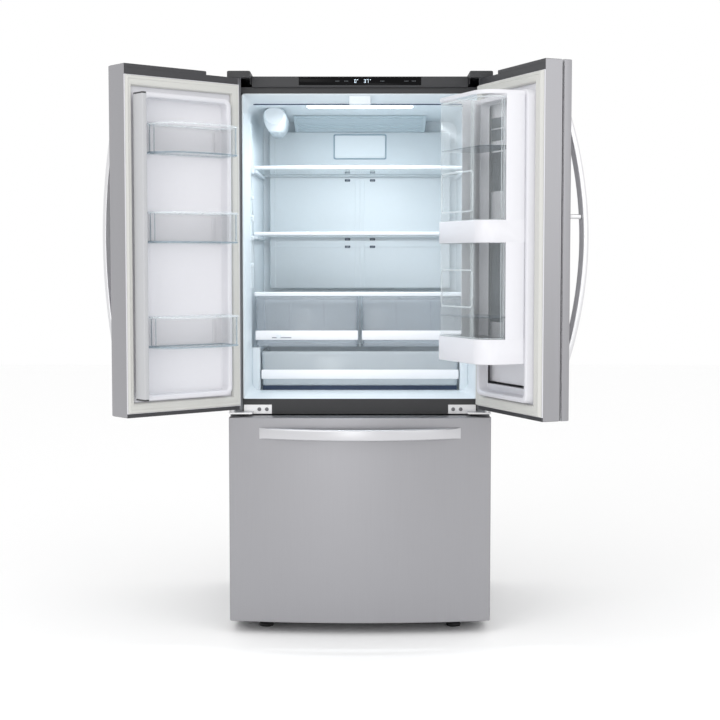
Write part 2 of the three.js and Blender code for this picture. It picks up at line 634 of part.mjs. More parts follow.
add('basket_carrier', mirrored(carrierShell), paint.white, rightDoor);
const basketInset = carrier.wall + gap;
function clearBasket(low, high, midFloor) {
  const shell = cut(
    rise(carrierPlan(basketInset), low, high),
    rise(carrierPlan(basketInset + binWall, carrierBack - 1), low + binWall, high + 1),
  );
  const inside = common(rise(carrierPlan(basketInset + 1), midFloor, midFloor + 3),
    block(carrier.hinge, carrier.free, carrierBack + 4, half, midFloor, midFloor + 3));
  return join(shell, inside);
}
const basketSplit = bands.midLow + 12; // behind the middle band
const lowerBasketLow = carrier.low + carrier.wall + gap;
const upperFloor = basketSplit + (bands.top - basketSplit) * 133 / 208;
const upperBasket = clearBasket(basketSplit, bands.top - 2, upperFloor);
const lowerBasket = clearBasket(lowerBasketLow, basketSplit - 2, carrier.low + 136);
add('right_basket_upper', mirrored(upperBasket), paint.clear, rightDoor);
add('right_basket_lower', mirrored(lowerBasket), paint.clear, rightDoor);

// Outer door: curved steel shell on a panel whose tub enters the frame's opening.
const outerPivot = { x: half - 5, y: -66.5 };
const outerDoor = turned(rightDoor, outerPivot.x, outerPivot.y, 0);
const outerPlan = (inset) => [
  ...bowPoints(hingeEdge + inset, freeEdge - inset, inset),
  ...splitPoints(hingeEdge + inset, freeEdge - inset, -split.gap).reverse(),
];
const outerHollow = rise([
  ...bowPoints(hingeEdge + door.skin, freeEdge - door.skin, door.skin),
  [freeEdge - door.skin, 0], [hingeEdge + door.skin, 0],
], door.bottom + door.skin, doorTop - door.skin);
const outerShell = cut(rise(outerPlan(0), door.bottom, doorTop), outerHollow);
add('outer_door_skin', mirrored(outerShell), paint.steel, outerDoor);

const tubClear = 6; // all round, between the tub and the opening that it enters
const tub = {
  hinge: window_.hinge + tubClear, free: window_.free - tubClear,
  low: window_.low + tubClear, high: window_.high - tubClear, reach: 30,
};
const panelInset = door.skin + gap;
const panelPlan = [
  ...splitPoints(hingeEdge + panelInset, freeEdge - panelInset, -split.gap),
  ...splitPoints(hingeEdge + panelInset, freeEdge - panelInset, -split.gap - door.plate).reverse(),
];
const tubWall = 2.5;
const tubSolid = rise([
  ...splitPoints(tub.hinge, tub.free, -split.gap - 1), [tub.free, -tub.reach], [tub.hinge, -tub.reach],
], tub.low, tub.high);
const tubHollow = block(tub.hinge + tubWall, tub.free - tubWall, -half, -tub.reach - tubWall,
  tub.low + tubWall, tub.high - tubWall);
const outerPlate = rise(panelPlan, door.bottom + panelInset, doorTop - panelInset);
add('outer_door_panel', mirrored(cut(join(outerPlate, tubSolid), tubHollow)), paint.greyPaint, outerDoor);
add('right_door_handle', mirrored(doorHandle), paint.steel, outerDoor);

// Release button of the outer door, between its handle and its face.
const button = { z: handle.low + (handle.high - handle.low) * 443 / 750, high: 14, width: 12, travel: 6 };
const buttonAlong = (button.z + button.high - handle.low - handle.taper)
  / (handle.high - handle.low - 2 * handle.taper);
const buttonFoot = handleFace - (handle.reach - handle.thick) * arch(buttonAlong) + 1;
const buttonSolid = block(-handle.inset - button.width / 2, -handle.inset + button.width / 2,
  buttonFoot, handleFoot - button.travel - 2, button.z - button.high / 2, button.z + button.high / 2);
add('outer_door_button', mirrored(buttonSolid), paint.zinc, outerDoor);

// ---------------------------------------------------------------- freezer drawer
const drawerHigh = drawer.top - drawer.cap;
const frontWide = bowPoints(-skinHalf, skinHalf);
const drawerSolid = rise([...frontWide, [skinHalf, -door.inner], [-skinHalf, -door.inner]],
  drawer.bottom, drawer.top);
const drawerHollow = rise([
  ...bowPoints(-skinHalf + door.skin, skinHalf - door.skin, door.skin),
  [skinHalf - door.skin, 0], [-skinHalf + door.skin, 0],
], drawer.bottom + door.skin, drawer.top - door.skin);
add('freezer_front', cut(drawerSolid, drawerHollow), paint.steel);

const freezerBack = -door.inner + gap;
const panelDyke = { low: freezer.floor + 12, high: freezer.top - 14, half: freezer.halfWidth - 10 };
add('freezer_inner_panel', join(
  block(-skinHalf, skinHalf, freezerBack, freezerBack + door.plate - gap, drawer.bottom + 1, drawerHigh),
  ring(-panelDyke.half, panelDyke.half, panelDyke.low, panelDyke.high, { low: 14, high: 14, ends: 14 },
    freezerBack, freezerBack + 24),
), paint.white);
add('freezer_gasket', ring(-skinHalf + 6, skinHalf - 6, panelDyke.low - 34, panelDyke.high + 32,
  { low: 30, high: 30, ends: 30 }, -door.inner + door.plate + gap,
  -door.inner + door.plate + gap + gasketBand.lift), paint.gasket);

const barHandle = { half: half - 97, low: 627, high: 662, reach: 55, thick: 16, taper: 42 };
const barPlan = crescent(-barHandle.half, barHandle.half, barHandle.reach, barHandle.thick, barHandle.taper)
  .map(([x, y]) => [x, bowY(x) - gap - y]);
add('freezer_handle', rise(barPlan, barHandle.low, barHandle.high), paint.steel);

// Deep bin hung between its two slide bars.
const basket = { half: freezer.halfWidth - 38, front: 14, back: 430, low: 122, high: 420, wall: 3 };
const slideBar = { wide: 10, low: 384, high: 414 };
const bar = block(basket.half - 1, basket.half + slideBar.wide, basket.front, basket.back,
  slideBar.low, slideBar.high);
add('freezer_basket', join(
  bin(-basket.half, basket.half, basket.front, basket.back, basket.low, basket.high, basket.wall),
  bar, mirrored(bar),
), paint.white);
const tray = { half: basket.half - 8, front: 20, back: 340, low: basket.high + 6, high: 560, wall: 3 };
add('freezer_tray', bin(-tray.half, tray.half, tray.front, tray.back, tray.low, tray.high, tray.wall),
  paint.white);

// ---------------------------------------------------------------- cooling parts
const pump = { x: -190, y: 612, radius: 74, low: baseTop + gap, high: 215 };
const dome = 34;
const pumpProfile = [
  [0, pump.low], [pump.radius * 0.7, pump.low],
  [pump.radius, pump.low + dome], [pump.radius, pump.high - dome],
  [pump.radius * 0.86, pump.high - dome * 0.4], [pump.radius * 0.5, pump.high - 4], [0, pump.high],
];
add('compressor', new THREE.LatheGeometry(pumpProfile.map(([r, h]) => new THREE.Vector2(r, h)), 24)
  .rotateX(Math.PI / 2).translate(pump.x, pump.y, 0), paint.enamelBlack);

// ---------------------------------------------------------------- stand on the origin
const size = new THREE.Box3().setFromObject(fridge, true);
layout.position.set(-(size.min.x + size.max.x) / 2, -(size.min.y + size.max.y) / 2, -size.min.z);

export default fridge;
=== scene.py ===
import json
import math

import bmesh
import bpy
from mathutils import Matrix, Vector


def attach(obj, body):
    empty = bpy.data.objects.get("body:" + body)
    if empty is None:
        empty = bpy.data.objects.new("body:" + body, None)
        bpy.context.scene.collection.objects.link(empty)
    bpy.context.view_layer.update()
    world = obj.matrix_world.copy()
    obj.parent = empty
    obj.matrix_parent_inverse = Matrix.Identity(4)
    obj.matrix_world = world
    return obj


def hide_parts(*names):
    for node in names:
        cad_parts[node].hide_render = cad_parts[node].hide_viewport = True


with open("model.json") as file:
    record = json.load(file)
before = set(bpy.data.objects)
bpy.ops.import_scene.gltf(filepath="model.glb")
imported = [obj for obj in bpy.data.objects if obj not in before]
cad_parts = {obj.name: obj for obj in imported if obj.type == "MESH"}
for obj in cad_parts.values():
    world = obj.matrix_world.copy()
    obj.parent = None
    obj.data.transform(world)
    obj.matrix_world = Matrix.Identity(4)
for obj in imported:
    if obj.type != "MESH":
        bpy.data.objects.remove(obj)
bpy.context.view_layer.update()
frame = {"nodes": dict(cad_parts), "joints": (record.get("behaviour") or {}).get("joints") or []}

# ---------------------------------------------------------------------------------------- case
# The case is folded sheet steel, painted grey with a light orange-peel texture. The two sides
# hook into the base, and the top and the pressed back are screwed on over the foam.


def set_shader(material, values):
    """Sets sockets of a material's shader by their names."""
    for socket, value in values.items():
        material.node_tree.nodes["Principled BSDF"].inputs[socket].default_value = value


def finish(name, color, rough, metal=0.0, grain=500, vary=0.04, relief=0.00005):
    """A procedural finish: a fine grain shifts its colour, roughness and height a little."""
    material = bpy.data.materials.new(name)
    material.use_nodes = True
    set_shader(material, {"Metallic": metal})
    nodes, links = material.node_tree.nodes, material.node_tree.links
    shader = nodes["Principled BSDF"]
    place = nodes.new("ShaderNodeTexCoord")
    stretch = nodes.new("ShaderNodeMapping")
    stretch.inputs["Scale"].default_value = grain if isinstance(grain, tuple) else (grain, grain, grain)
    noise = nodes.new("ShaderNodeTexNoise")
    noise.inputs["Scale"].default_value = 1.0
    noise.inputs["Detail"].default_value = 3.0
    links.new(place.outputs["Object"], stretch.inputs["Vector"])
    links.new(stretch.outputs["Vector"], noise.inputs["Vector"])
    shade = nodes.new("ShaderNodeMix")
    shade.data_type = "RGBA"
    shade.inputs[6].default_value = (*[c * (1 - vary) for c in color], 1)
    shade.inputs[7].default_value = (*[min(1, c * (1 + vary)) for c in color], 1)
    links.new(noise.outputs["Fac"], shade.inputs["Factor"])
    links.new(shade.outputs[2], shader.inputs["Base Color"])
    gloss, gloss_spread = nodes.new("ShaderNodeMapRange"), 0.06
    gloss.inputs["To Min"].default_value = max(0.02, rough - gloss_spread)
    gloss.inputs["To Max"].default_value = rough + gloss_spread
    links.new(noise.outputs["Fac"], gloss.inputs["Value"])
    links.new(gloss.outputs["Result"], shader.inputs["Roughness"])
    bump = nodes.new("ShaderNodeBump")
    bump.inputs["Distance"].default_value = relief
    links.new(noise.outputs["Fac"], bump.inputs["Height"])
    links.new(bump.outputs["Normal"], shader.inputs["Normal"])
    return material


def dress(material, *nodes):
    """Gives CAD nodes whose shape is right their finish."""
    for node in nodes:
        slots = frame["nodes"][node].data.materials
        slots.clear()
        slots.append(material)


class Extent:
    """Where a node lies: x0, x1, y0, y1, z0, z1. swing brings a door's node back to its shut place."""

    def __init__(self, node, swing=None):
        back = swing.inverted() if swing else Matrix()
        points = [back @ vertex.co for vertex in frame["nodes"][node].data.vertices]
        for axis, letter in enumerate("xyz"):
            setattr(self, letter + "0", min(p[axis] for p in points))
            setattr(self, letter + "1", max(p[axis] for p in points))
        self.x, self.y, self.z = [(getattr(self, a + "0") + getattr(self, a + "1")) / 2 for a in "xyz"]


def rounded(a0, a1, b0, b1, radius, steps=5):
    """Outline of a rectangle with round corners, as (a, b) points, always 4 * (steps + 1) of them."""
    radius = max(0.0001, min(radius, (a1 - a0) / 2.001, (b1 - b0) / 2.001))
    points = []
    for quarter, (a, b) in enumerate(((a1, b1), (a0, b1), (a0, b0), (a1, b0))):
        ca = a - radius if a == a1 else a + radius
        cb = b - radius if b == b1 else b + radius
        for step in range(steps + 1):
            turn = math.pi / 2 * (quarter + step / steps)
            points.append((ca + radius * math.cos(turn), cb + radius * math.sin(turn)))
    return points


def raised(outline, z):
    """A plan outline (x, y) at a height."""
    return [(a, b, z) for a, b in outline]


def upright(outline, y):
    """A front outline (x, z) at a depth."""
    return [(a, y, b) for a, b in outline]


def sideways(outline, x):
    """A side outline (y, z) at a distance across."""
    return [(x, a, b) for a, b in outline]


def plan_ring(e, inset, z, radius):
    """Ring round a node's plan at a height, drawn in by inset."""
    return raised(rounded(e.x0 + inset, e.x1 - inset, e.y0 + inset, e.y1 - inset, radius), z)


def front_ring(e, inset, y, radius):
    """Ring round a node's front at a depth, drawn in by inset."""
    return upright(rounded(e.x0 + inset, e.x1 - inset, e.z0 + inset, e.z1 - inset, radius), y)


def block(x0, x1, y0, y1, z0, z1, radius=0.001):
    """Shell of a block with round upright edges."""
    plan = rounded(x0, x1, y0, y1, radius, 3)
    return [raised(plan, z0), raised(plan, z1)], "capped"


def bar(x, y, half_x, half_y, z0, z1, radius):
    """Shell of an upright bar round a point of the plan."""
    return block(x - half_x, x + half_x, y - half_y, y + half_y, z0, z1, radius)


def make(name, shells, material, body, slot, edge=0.0, swing=None, soft_angle=40, replaces=()):
    """One piece: each shell is a skin through rings of points, capped at its ends or joined to a loop."""
    mesh = bpy.data.meshes.new(name)
    build = bmesh.new()
    for rings, ends in shells:
        rows = [[build.verts.new(point) for point in ring] for ring in rings]
        count = len(rings[0])
        pairs = list(zip(rows, rows[1:]))
        if ends == "joined":
            pairs.append((rows[-1], rows[0]))
        for low, high in pairs:
            for i in range(count):
                j = (i + 1) % count
                build.faces.new((low[i], low[j], high[j], high[i]))
        if ends == "capped":
            build.faces.new(rows[0][::-1])
            build.faces.new(rows[-1])
    bmesh.ops.recalc_face_normals(build, faces=build.faces)
    build.to_mesh(mesh)
    build.free()
    if swing:
        mesh.transform(swing)
    mesh.polygons.foreach_set("use_smooth", [True] * len(mesh.polygons))
    mesh.set_sharp_from_angle(angle=math.radians(soft_angle))
    mesh.materials.append(material)
    piece = bpy.data.objects.new(name, mesh)
    bpy.context.scene.collection.objects.link(piece)
    if edge:
        mesh.set_sharp_from_angle(angle=math.pi)
        bevel = piece.modifiers.new("edge", "BEVEL")
        bevel.width = edge
        bevel.segments = 2
        bevel.limit_method = "ANGLE"
        bevel.angle_limit = math.radians(soft_angle)
        bevel.harden_normals = True
    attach(piece, body)
    if replaces:
        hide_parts(*replaces)


grey_paint = finish("grey_paint", (0.22, 0.225, 0.24), 0.42, metal=0.3, grain=700, vary=0.06, relief=0.0001)
dress(grey_paint, "side_panel_left", "side_panel_right", "machine_cover", "base_pan")

left_side, right_side = Extent("side_panel_left"), Extent("side_panel_right")
middle = (left_side.x0 + right_side.x1) / 2
case_half = right_side.x1 - middle
case_front = left_side.y0

top = Extent("top_panel")
case_top, fold, sheet_corner = top.z1, 0.0015, 0.004
make("top_sheet", [([
    plan_ring(top, 0, top.z0, sheet_corner), plan_ring(top, 0, top.z1 - fold, sheet_corner),
    plan_ring(top, fold, top.z1, sheet_corner),
], "capped")], grey_paint, "cabinet", "grey_paint", replaces=("top_panel",))

# Pressed back sheet: its middle is pushed in a few millimetres, with three stiffening ribs.
back = Extent("back_panel")
pressed, border = 0.006, 0.045
back_shells = [([
    front_ring(back, 0, back.y0 - pressed, 0.002), front_ring(back, 0, back.y1, 0.002),
    front_ring(back, border, back.y1, 0.03), front_ring(back, border + pressed, back.y1 - pressed, 0.026),
], "capped")]
for share in (0.25, 0.5, 0.75):
    rib = back.x0 + border + (back.x1 - back.x0 - 2 * border) * share
    back_shells.append(([
        upright(rounded(rib - half, rib + half, back.z0 + border + end, back.z1 - border - end, half),
                back.y1 - sunk)
        for half, end, sunk in ((0.022, 0.06, pressed + 0.001), (0.022, 0.06, pressed), (0.016, 0.066, 0.001))
    ], "capped"))
make("back_sheet", back_shells, grey_paint, "cabinet", "grey_paint", soft_angle=25, replaces=("back_panel",))


def turned_on(profile, centre, axis, sides=24):
    """Shell turned about an axis: profile is (radius, distance along the axis) points."""
    rings = []
    for radius, along in profile:
        ring = []
        for i in range(sides):
            a = 2 * math.pi * i / sides
            u, v = max(radius, 0.00005) * math.cos(a), max(radius, 0.00005) * math.sin(a)
            offset = {"x": (along, u, v), "y": (v, along, u), "z": (u, v, along)}[axis]
            ring.append(tuple(c + o for c, o in zip(centre, offset)))
        rings.append(ring)
    return rings, "capped"


# Screws round the back sheet's border.
zinc = finish("zinc_plate", (0.62, 0.62, 0.63), 0.34, metal=0.85, grain=900, vary=0.06, relief=0.00002)
screw_head = [(0.0055, -0.0016), (0.0055, -0.001), (0.0045, 0.0), (0.0015, 0.0), (0.0012, -0.001)]
screw_rows, first_screw = 6, 0.06
screws = []
for side in (back.x0 + border / 2, back.x1 - border / 2):
    for row in range(screw_rows):
        height = back.z0 + first_screw + (back.z1 - back.z0 - 2 * first_screw) * row / (screw_rows - 1)
        screws.append(turned_on(screw_head, (side, back.y1 - 0.0001, height), "y"))
make("back_screws", screws, zinc, "cabinet", "zinc")

# ---------------------------------------------------------------------------------------- feet and rollers
# Two levelling feet under the front corners, black plastic with a grip rim, screwed up into the
# base, and two hard rubber rollers on pins under the back.

black_rubber = finish("black_rubber", (0.018, 0.018, 0.018), 0.6, grain=600, vary=0.2, relief=0.0001)
grip_notches, notch_sunk = 12, 0.0012
for side in ("left", "right"):
    foot = Extent(f"front_foot_{side}")
    radius, height = (foot.x1 - foot.x0) / 2, foot.z1 - foot.z0
    shells = [turned_on([
        (radius - 0.003, 0), (radius - 0.001, 0.001), (radius, 0.004), (radius, 0.008), (radius - 0.002, 0.011),
        (0.009, 0.0125), (0.006, 0.013), (0.006, height),
    ], (foot.x, foot.y, foot.z0), "z", 32)]
    for notch in range(grip_notches):
        a = 2 * math.pi * notch / grip_notches
        x, y = foot.x + (radius - notch_sunk) * math.cos(a), foot.y + (radius - notch_sunk) * math.sin(a)
        shells.append(turned_on([(0.0012, 0.003), (0.0016, 0.006), (0.0012, 0.009)], (x, y, foot.z0), "z", 8))
    make(f"levelling_foot_{side}", shells, black_rubber, "cabinet", "black_rubber",
         replaces=(f"front_foot_{side}",))

    wheel = Extent(f"rear_roller_{side}")
    r, w = (wheel.z1 - wheel.z0) / 2, (wheel.x1 - wheel.x0) / 2
    hub, tread, dish = 0.0045, 0.0015, 0.002
    half_profile = [(hub, -w), (hub + 0.004, -w), (hub + 0.005, -w + dish), (r - 0.004, -w + dish),
                    (r - 0.003, -w), (r - tread, -w), (r, -w + tread)]
    profile = half_profile + [(out, -along) for out, along in half_profile[::-1]]
    make(f"transit_roller_{side}", [(turned_on(profile, (wheel.x, wheel.y, wheel.z), "x", 32)[0], "joined")],
         black_rubber, f"roller_{side}", "black_rubber", replaces=(f"rear_roller_{side}",))

# ---------------------------------------------------------------------------------------- fresh food liner
# One sheet of satin white plastic, vacuum-formed: a mouth that slopes in to the ceiling and floor,
# side walls with pressed ribs and small hooks for the shelves, and a narrower back.


def moulded(name, color, rough=0.36, grain=70, vary=0.012):
    """Satin moulded plastic: an almost even colour and a very faint grain."""
    return finish(name, color, rough, grain=grain, vary=vary, relief=0.000003)


liner_white = moulded("liner_white", (0.72, 0.78, 0.82), grain=60)
liner = Extent("fridge_liner")
wall = 0.003
mouth_half, mouth_low, mouth_high = liner.x1 - wall - middle, liner.z0 + wall, liner.z1 - wall
inner_half, rear_half = mouth_half - 0.010, mouth_half - 0.022
inner_low, inner_high = mouth_low + 0.012, mouth_high - 0.023
mouth_y, rear_y = liner.y0 + 0.0535, liner.y1 - wall


def liner_ring(half, low, high, radius, y, grow=0.0):
    return upright(rounded(middle - half - grow, middle + half + grow, low - grow, high + grow,
                           radius + grow, 6), y)


make("fresh_food_liner", [([
    liner_ring(rear_half, inner_low, inner_high, 0.03, rear_y + wall, wall),
    liner_ring(inner_half, inner_low, inner_high, 0.025, mouth_y, wall),
    liner_ring(mouth_half, mouth_low, mouth_high, 0.006, liner.y0, wall),
    liner_ring(mouth_half, mouth_low, mouth_high, 0.006, liner.y0 - 0.0002),
    liner_ring(mouth_half - 0.001, mouth_low + 0.001, mouth_high - 0.001, 0.007, liner.y0 + 0.002),
    liner_ring(inner_half, inner_low, inner_high, 0.024, mouth_y),
    liner_ring(inner_half - 0.0005, inner_low, inner_high, 0.025, mouth_y + 0.004),
    liner_ring(rear_half, inner_low, inner_high, 0.03, rear_y - 0.004),
    liner_ring(rear_half - 0.002, inner_low + 0.002, inner_high - 0.002, 0.03, rear_y),
], "capped")], liner_white, "cabinet", "liner_white", soft_angle=50, replaces=("fridge_liner",))

# Ribs, hooks and shelf ledges on both side walls.
upper, lower = Extent("shelf_upper"), Extent("shelf_lower")
cover, crisper, pantry = Extent("crisper_cover"), Extent("crisper_left"), Extent("pantry_drawer")


def wall_at(y):
    """Half width of the liner at a depth."""
    return inner_half + (rear_half - inner_half) * (y - mouth_y) / (rear_y - mouth_y)


hook_levels = (upper.z1, upper.z1 - 0.085, upper.z1 - 0.15, lower.z1, lower.z1 + 0.06, lower.z1 - 0.09)
hook_reach, hook_drop, embedded = 0.011, 0.026, 0.001
wall_shells = []
for sign in (-1, 1):
    for offset in (-0.022, -0.006, 0.02, 0.07):
        y = upper.y0 + offset
        x = middle + sign * (wall_at(y) - 0.0006)
        wall_shells.append(bar(x, y, 0.0012, 0.0025, cover.z1 + 0.012, inner_high - 0.05, 0.001))
    for level in hook_levels:
        y = upper.y0 - 0.014
        x0, x1 = sorted((middle + sign * (wall_at(y) + embedded), middle + sign * (wall_at(y) - hook_reach)))
        wall_shells.append(([
            raised(rounded(x0, x1, y + front, y + rear, radius), level - hook_drop + rise)
            for front, rear, radius, rise in ((-0.005, 0.016, 0.004, 0), (-0.008, 0.018, 0.005, 0.006),
                                              (-0.008, 0.018, 0.005, 0.010), (-0.002, 0.014, 0.004, 0.013))
        ], "capped"))
    for shelf in (upper, lower):
        y0 = shelf.y0 + 0.024
        x0, x1 = sorted((middle + sign * (rear_half - 0.010), middle + sign * (wall_at(y0) + embedded)))
        wall_shells.append(block(x0, x1, y0, shelf.y1, shelf.z0 - 0.010, shelf.z0 - 0.001, 0.004))
make("wall_ribs_and_hooks", wall_shells, liner_white, "cabinet", "liner_white", edge=0.0008)

# The block that steers the folding flap, and the two blocks that the pantry drawer runs between.
guide_y, guide_half = liner.y0 + 0.0065, 0.034
steer_low = Extent("mullion_flap").z1 + 0.003
steer_high = steer_low + 0.016
make("flap_guide", [
    block(middle - guide_half, middle + guide_half, guide_y, guide_y + 0.010, steer_low,
          steer_high + 0.010, 0.003),
    block(middle - guide_half, middle + guide_half, guide_y + 0.016, guide_y + 0.032, steer_low,
          steer_high, 0.005),
    block(middle + 0.026, middle + guide_half, guide_y + 0.004, guide_y + 0.028, steer_low,
          steer_high, 0.003),
], liner_white, "cabinet", "liner_white", edge=0.001)

# A dark blue finish of painted shade: a thin strip across the ceiling just inside the mouth, and the shadow in
# the gap under the pantry drawer.
painted_shade_blue = finish("shadow_blue", (0.035, 0.06, 0.12), 0.5, grain=80, vary=0.1)
shade_strip_half = inner_half - 0.02
make("ceiling_shade_strip", [block(middle - shade_strip_half, middle + shade_strip_half, mouth_y + 0.004, mouth_y + 0.0075,
                              inner_high - 0.0034, inner_high + 0.0005, 0.001)],
     painted_shade_blue, "cabinet", "dark_plastic")

block_inner, block_y0 = pantry.x1 - middle + 0.003, pantry.y0 + 0.004
side_blocks = []
for sign in (-1, 1):
    x0, x1 = sorted((middle + sign * block_inner, middle + sign * (wall_at(block_y0) + embedded)))
    side_blocks.append(block(x0, x1, block_y0, rear_y - 0.03, inner_low - 0.001, crisper.z0 - 0.002, 0.006))
make("pantry_side_blocks", side_blocks, liner_white, "cabinet", "liner_white", edge=0.0015)
# Painted shadow: a dark blue block fills the gap under the pantry drawer.
make("under_pantry_shadow", [
    block(pantry.x0 + 0.004, pantry.x1 - 0.004, block_y0 + 0.02, block_y0 + 0.026, inner_low,
          pantry.z0 - 0.001, 0.002),
], painted_shade_blue, "cabinet", "dark_plastic")

# ---------------------------------------------------------------------------------------- lamp and filter
# A milky diffuser strip over the lamps in the ceiling, and beside it the housing of the water
# filter: a tapered moulding clipped to the ceiling, with a separate round-cornered cap in front.

lamp = Extent("ceiling_lamp")
lamp_white = finish("lamp_white", (0.9, 0.95, 1.0), 0.4, grain=90, vary=0.01)
set_shader(lamp_white, {"Emission Color": (0.86, 0.94, 1.0, 1), "Emission Strength": 3.0})
lamp_plan = rounded(lamp.x0, lamp.x1, lamp.y0, lamp.y1, 0.010, 6)
lamp_face = rounded(lamp.x0 + 0.004, lamp.x1 - 0.004, lamp.y0 + 0.004, lamp.y1 - 0.004, 0.007, 6)
make("lamp_diffuser", [([raised(lamp_plan, lamp.z1), raised(lamp_plan, lamp.z0 + 0.003),
                         raised(lamp_face, lamp.z0)], "capped")],
     lamp_white, "cabinet", "lamp_white", replaces=("ceiling_lamp",))

fresh_white = moulded("fitting_white", (0.74, 0.80, 0.84))
housing = Extent("filter_housing")
cap_deep, cap_low = 0.009, housing.z0 + 0.022


def housing_ring(y, inset, low, taper=0.016):
    """Front outline of the filter housing: narrower towards its rounded underside."""
    width = housing.x1 - housing.x0
    points = []
    for x, z in rounded(housing.x0 + inset, housing.x1 - inset, low, housing.z1, 0.03, 6):
        lean = taper * (housing.z1 - z) / (housing.z1 - housing.z0)
        points.append((housing.x + (x - housing.x) * (1 - 2 * lean / width), z))
    return upright(points, y)


make("filter_body", [([
    housing_ring(housing.y0 + cap_deep + 0.001, 0.004, housing.z0 + 0.003),
    housing_ring(housing.y0 + cap_deep + 0.004, 0.0, housing.z0),
    housing_ring(housing.y1 - 0.02, 0.0, housing.z0), housing_ring(housing.y1, 0.012, housing.z0 + 0.02),
], "capped")], fresh_white, "cabinet", "liner_white", soft_angle=50, replaces=("filter_housing",))
make("filter_cap", [([
    housing_ring(housing.y0 + cap_deep, 0.004, cap_low), housing_ring(housing.y0 + 0.003, 0.004, cap_low),
    housing_ring(housing.y0, 0.008, cap_low + 0.004),
], "capped")], fresh_white, "cabinet", "liner_white", soft_angle=30)

# ---------------------------------------------------------------------------------------- air duct
# A white plastic cover over the air duct at the back: a flat panel with a shallow centre channel, small vents
# whose openings are dark sheets of painted shade, a framed outlet plate, and a finned louvre that closes the
# corner above it.

duct = Extent("duct_cover")
outlet_proud, panel_top, panel_y = 0.003, duct.z0 + 0.562, case_front + 0.612
duct_white = moulded("duct_white", (0.74, 0.79, 0.82), 0.4)


def duct_ring(inset, y, radius):
    return upright(rounded(duct.x0 + inset, duct.x1 - inset, duct.z0 + inset, panel_top - inset, radius), y)


seam_low, seam_back = duct.z0 + 0.004, panel_y + 0.001
duct_shells = [([duct_ring(0, rear_y - 0.0005, 0.006), duct_ring(0, panel_y + 0.003, 0.006),
                 duct_ring(0.003, panel_y, 0.005)], "capped")]
for offset, half, seam_top in ((-0.016, 0.0012, duct.z0 + 0.44), (0.0, 0.0012, duct.z0 + 0.44),
                               (0.016, 0.0012, duct.z0 + 0.44), (-0.305, 0.0015, panel_top - 0.006),
                               (0.305, 0.0015, panel_top - 0.006)):
    x = middle + offset
    duct_shells.append(block(x - half, x + half, panel_y - half, seam_back, seam_low, seam_top, 0.0008))
for level in (0.395, 0.150):
    duct_shells.append(block(duct.x0 + 0.01, duct.x1 - 0.01, panel_y - 0.0012, seam_back,
                             duct.z0 + level, duct.z0 + level + 0.0025, 0.0008))
make("duct_panel", duct_shells, duct_white, "cabinet", "liner_white", edge=0.0006, replaces=("duct_cover",))

vent_half, vent_half_high, fin_pitch = 0.0095, 0.0042, 0.0045
vents, vent_fins = [], []
for level in (0.416, 0.389, 0.178, 0.151):
    for sign in (-1, 1):
        x, z = middle + sign * 0.045, duct.z0 + level
        outline = rounded(x - vent_half, x + vent_half, z - vent_half_high, z + vent_half_high, 0.002)
        vents.append(([upright(outline, panel_y - 0.0017), upright(outline, panel_y - 0.0002)], "capped"))
        for fin in (-fin_pitch, 0.0, fin_pitch):
            vent_fins.append(block(x + fin - 0.0005, x + fin + 0.0005, panel_y - 0.0024, panel_y - 0.0015,
                                   z - 0.0036, z + 0.0036, 0.0003))
# The vents' openings are dark bluish sheets behind white fins: painted shade of the duct inside.
vent_shade = finish("vent_shade", (0.02, 0.035, 0.07), 0.6, grain=200, vary=0.2)
make("duct_vents", vents, vent_shade, "cabinet", "dark_plastic")
make("duct_vent_fins", vent_fins, duct_white, "cabinet", "liner_white")


def outlet_ring(inset, proud, half=0.095):
    return upright(rounded(middle - half + inset, middle + half - inset, duct.z0 + 0.464 + inset,
                           duct.z0 + 0.554 - inset, 0.006 - inset / 4), panel_y - proud)


outlet_blue = finish("outlet_blue", (0.30, 0.40, 0.48), 0.4, grain=70, vary=0.03)
make("outlet_frame", [([outlet_ring(0, 0.0002), outlet_ring(0.0004, outlet_proud),
                        outlet_ring(0.0035, outlet_proud), outlet_ring(0.0042, 0.0002)], "joined")],
     outlet_blue, "cabinet", "liner_white")
make("outlet_plate", [([outlet_ring(0.0045, 0.0002), outlet_ring(0.0045, 0.002),
                        outlet_ring(0.006, outlet_proud)], "capped")],
     moulded("outlet_white", (0.76, 0.81, 0.84), 0.4, vary=0.01), "cabinet", "liner_white", soft_angle=20)

louvre_half, louvre_y0, louvre_y1 = 0.230, case_front + 0.42, case_front + 0.56
louvre_z0, louvre_z1 = panel_top - 0.001, inner_high - 0.001
louvre_back, blade_inset, blades = rear_y - 0.001, 0.010, 7
wedge = [(louvre_y0, louvre_z1), (louvre_back, louvre_z1), (louvre_back, louvre_z0), (louvre_y1, louvre_z0)]
louvre_shells = [([sideways(wedge, middle - louvre_half), sideways(wedge, middle + louvre_half)], "capped")]
for blade in range(blades):
    t = (blade + 0.6) / blades
    y = louvre_y0 + (louvre_y1 - louvre_y0) * t
    z = louvre_z1 + (louvre_z0 - louvre_z1) * t
    section = [(y - 0.006, z), (y + 0.006, z - 0.0005), (y + 0.006, z + 0.003), (y - 0.004, z + 0.003)]
    louvre_shells.append(([sideways(section, middle - louvre_half + blade_inset),
                           sideways(section, middle + louvre_half - blade_inset)], "capped"))
make("air_louvre", louvre_shells, moulded("louvre_grey", (0.60, 0.69, 0.74), 0.4, vary=0.02),
     "cabinet", "liner_white", edge=0.0006)

# ---------------------------------------------------------------------------------------- shelves
# Tempered glass panes on side ledges, each with a moulded white rim along its front, and a
# slimmer rail that grips the pane at the back.


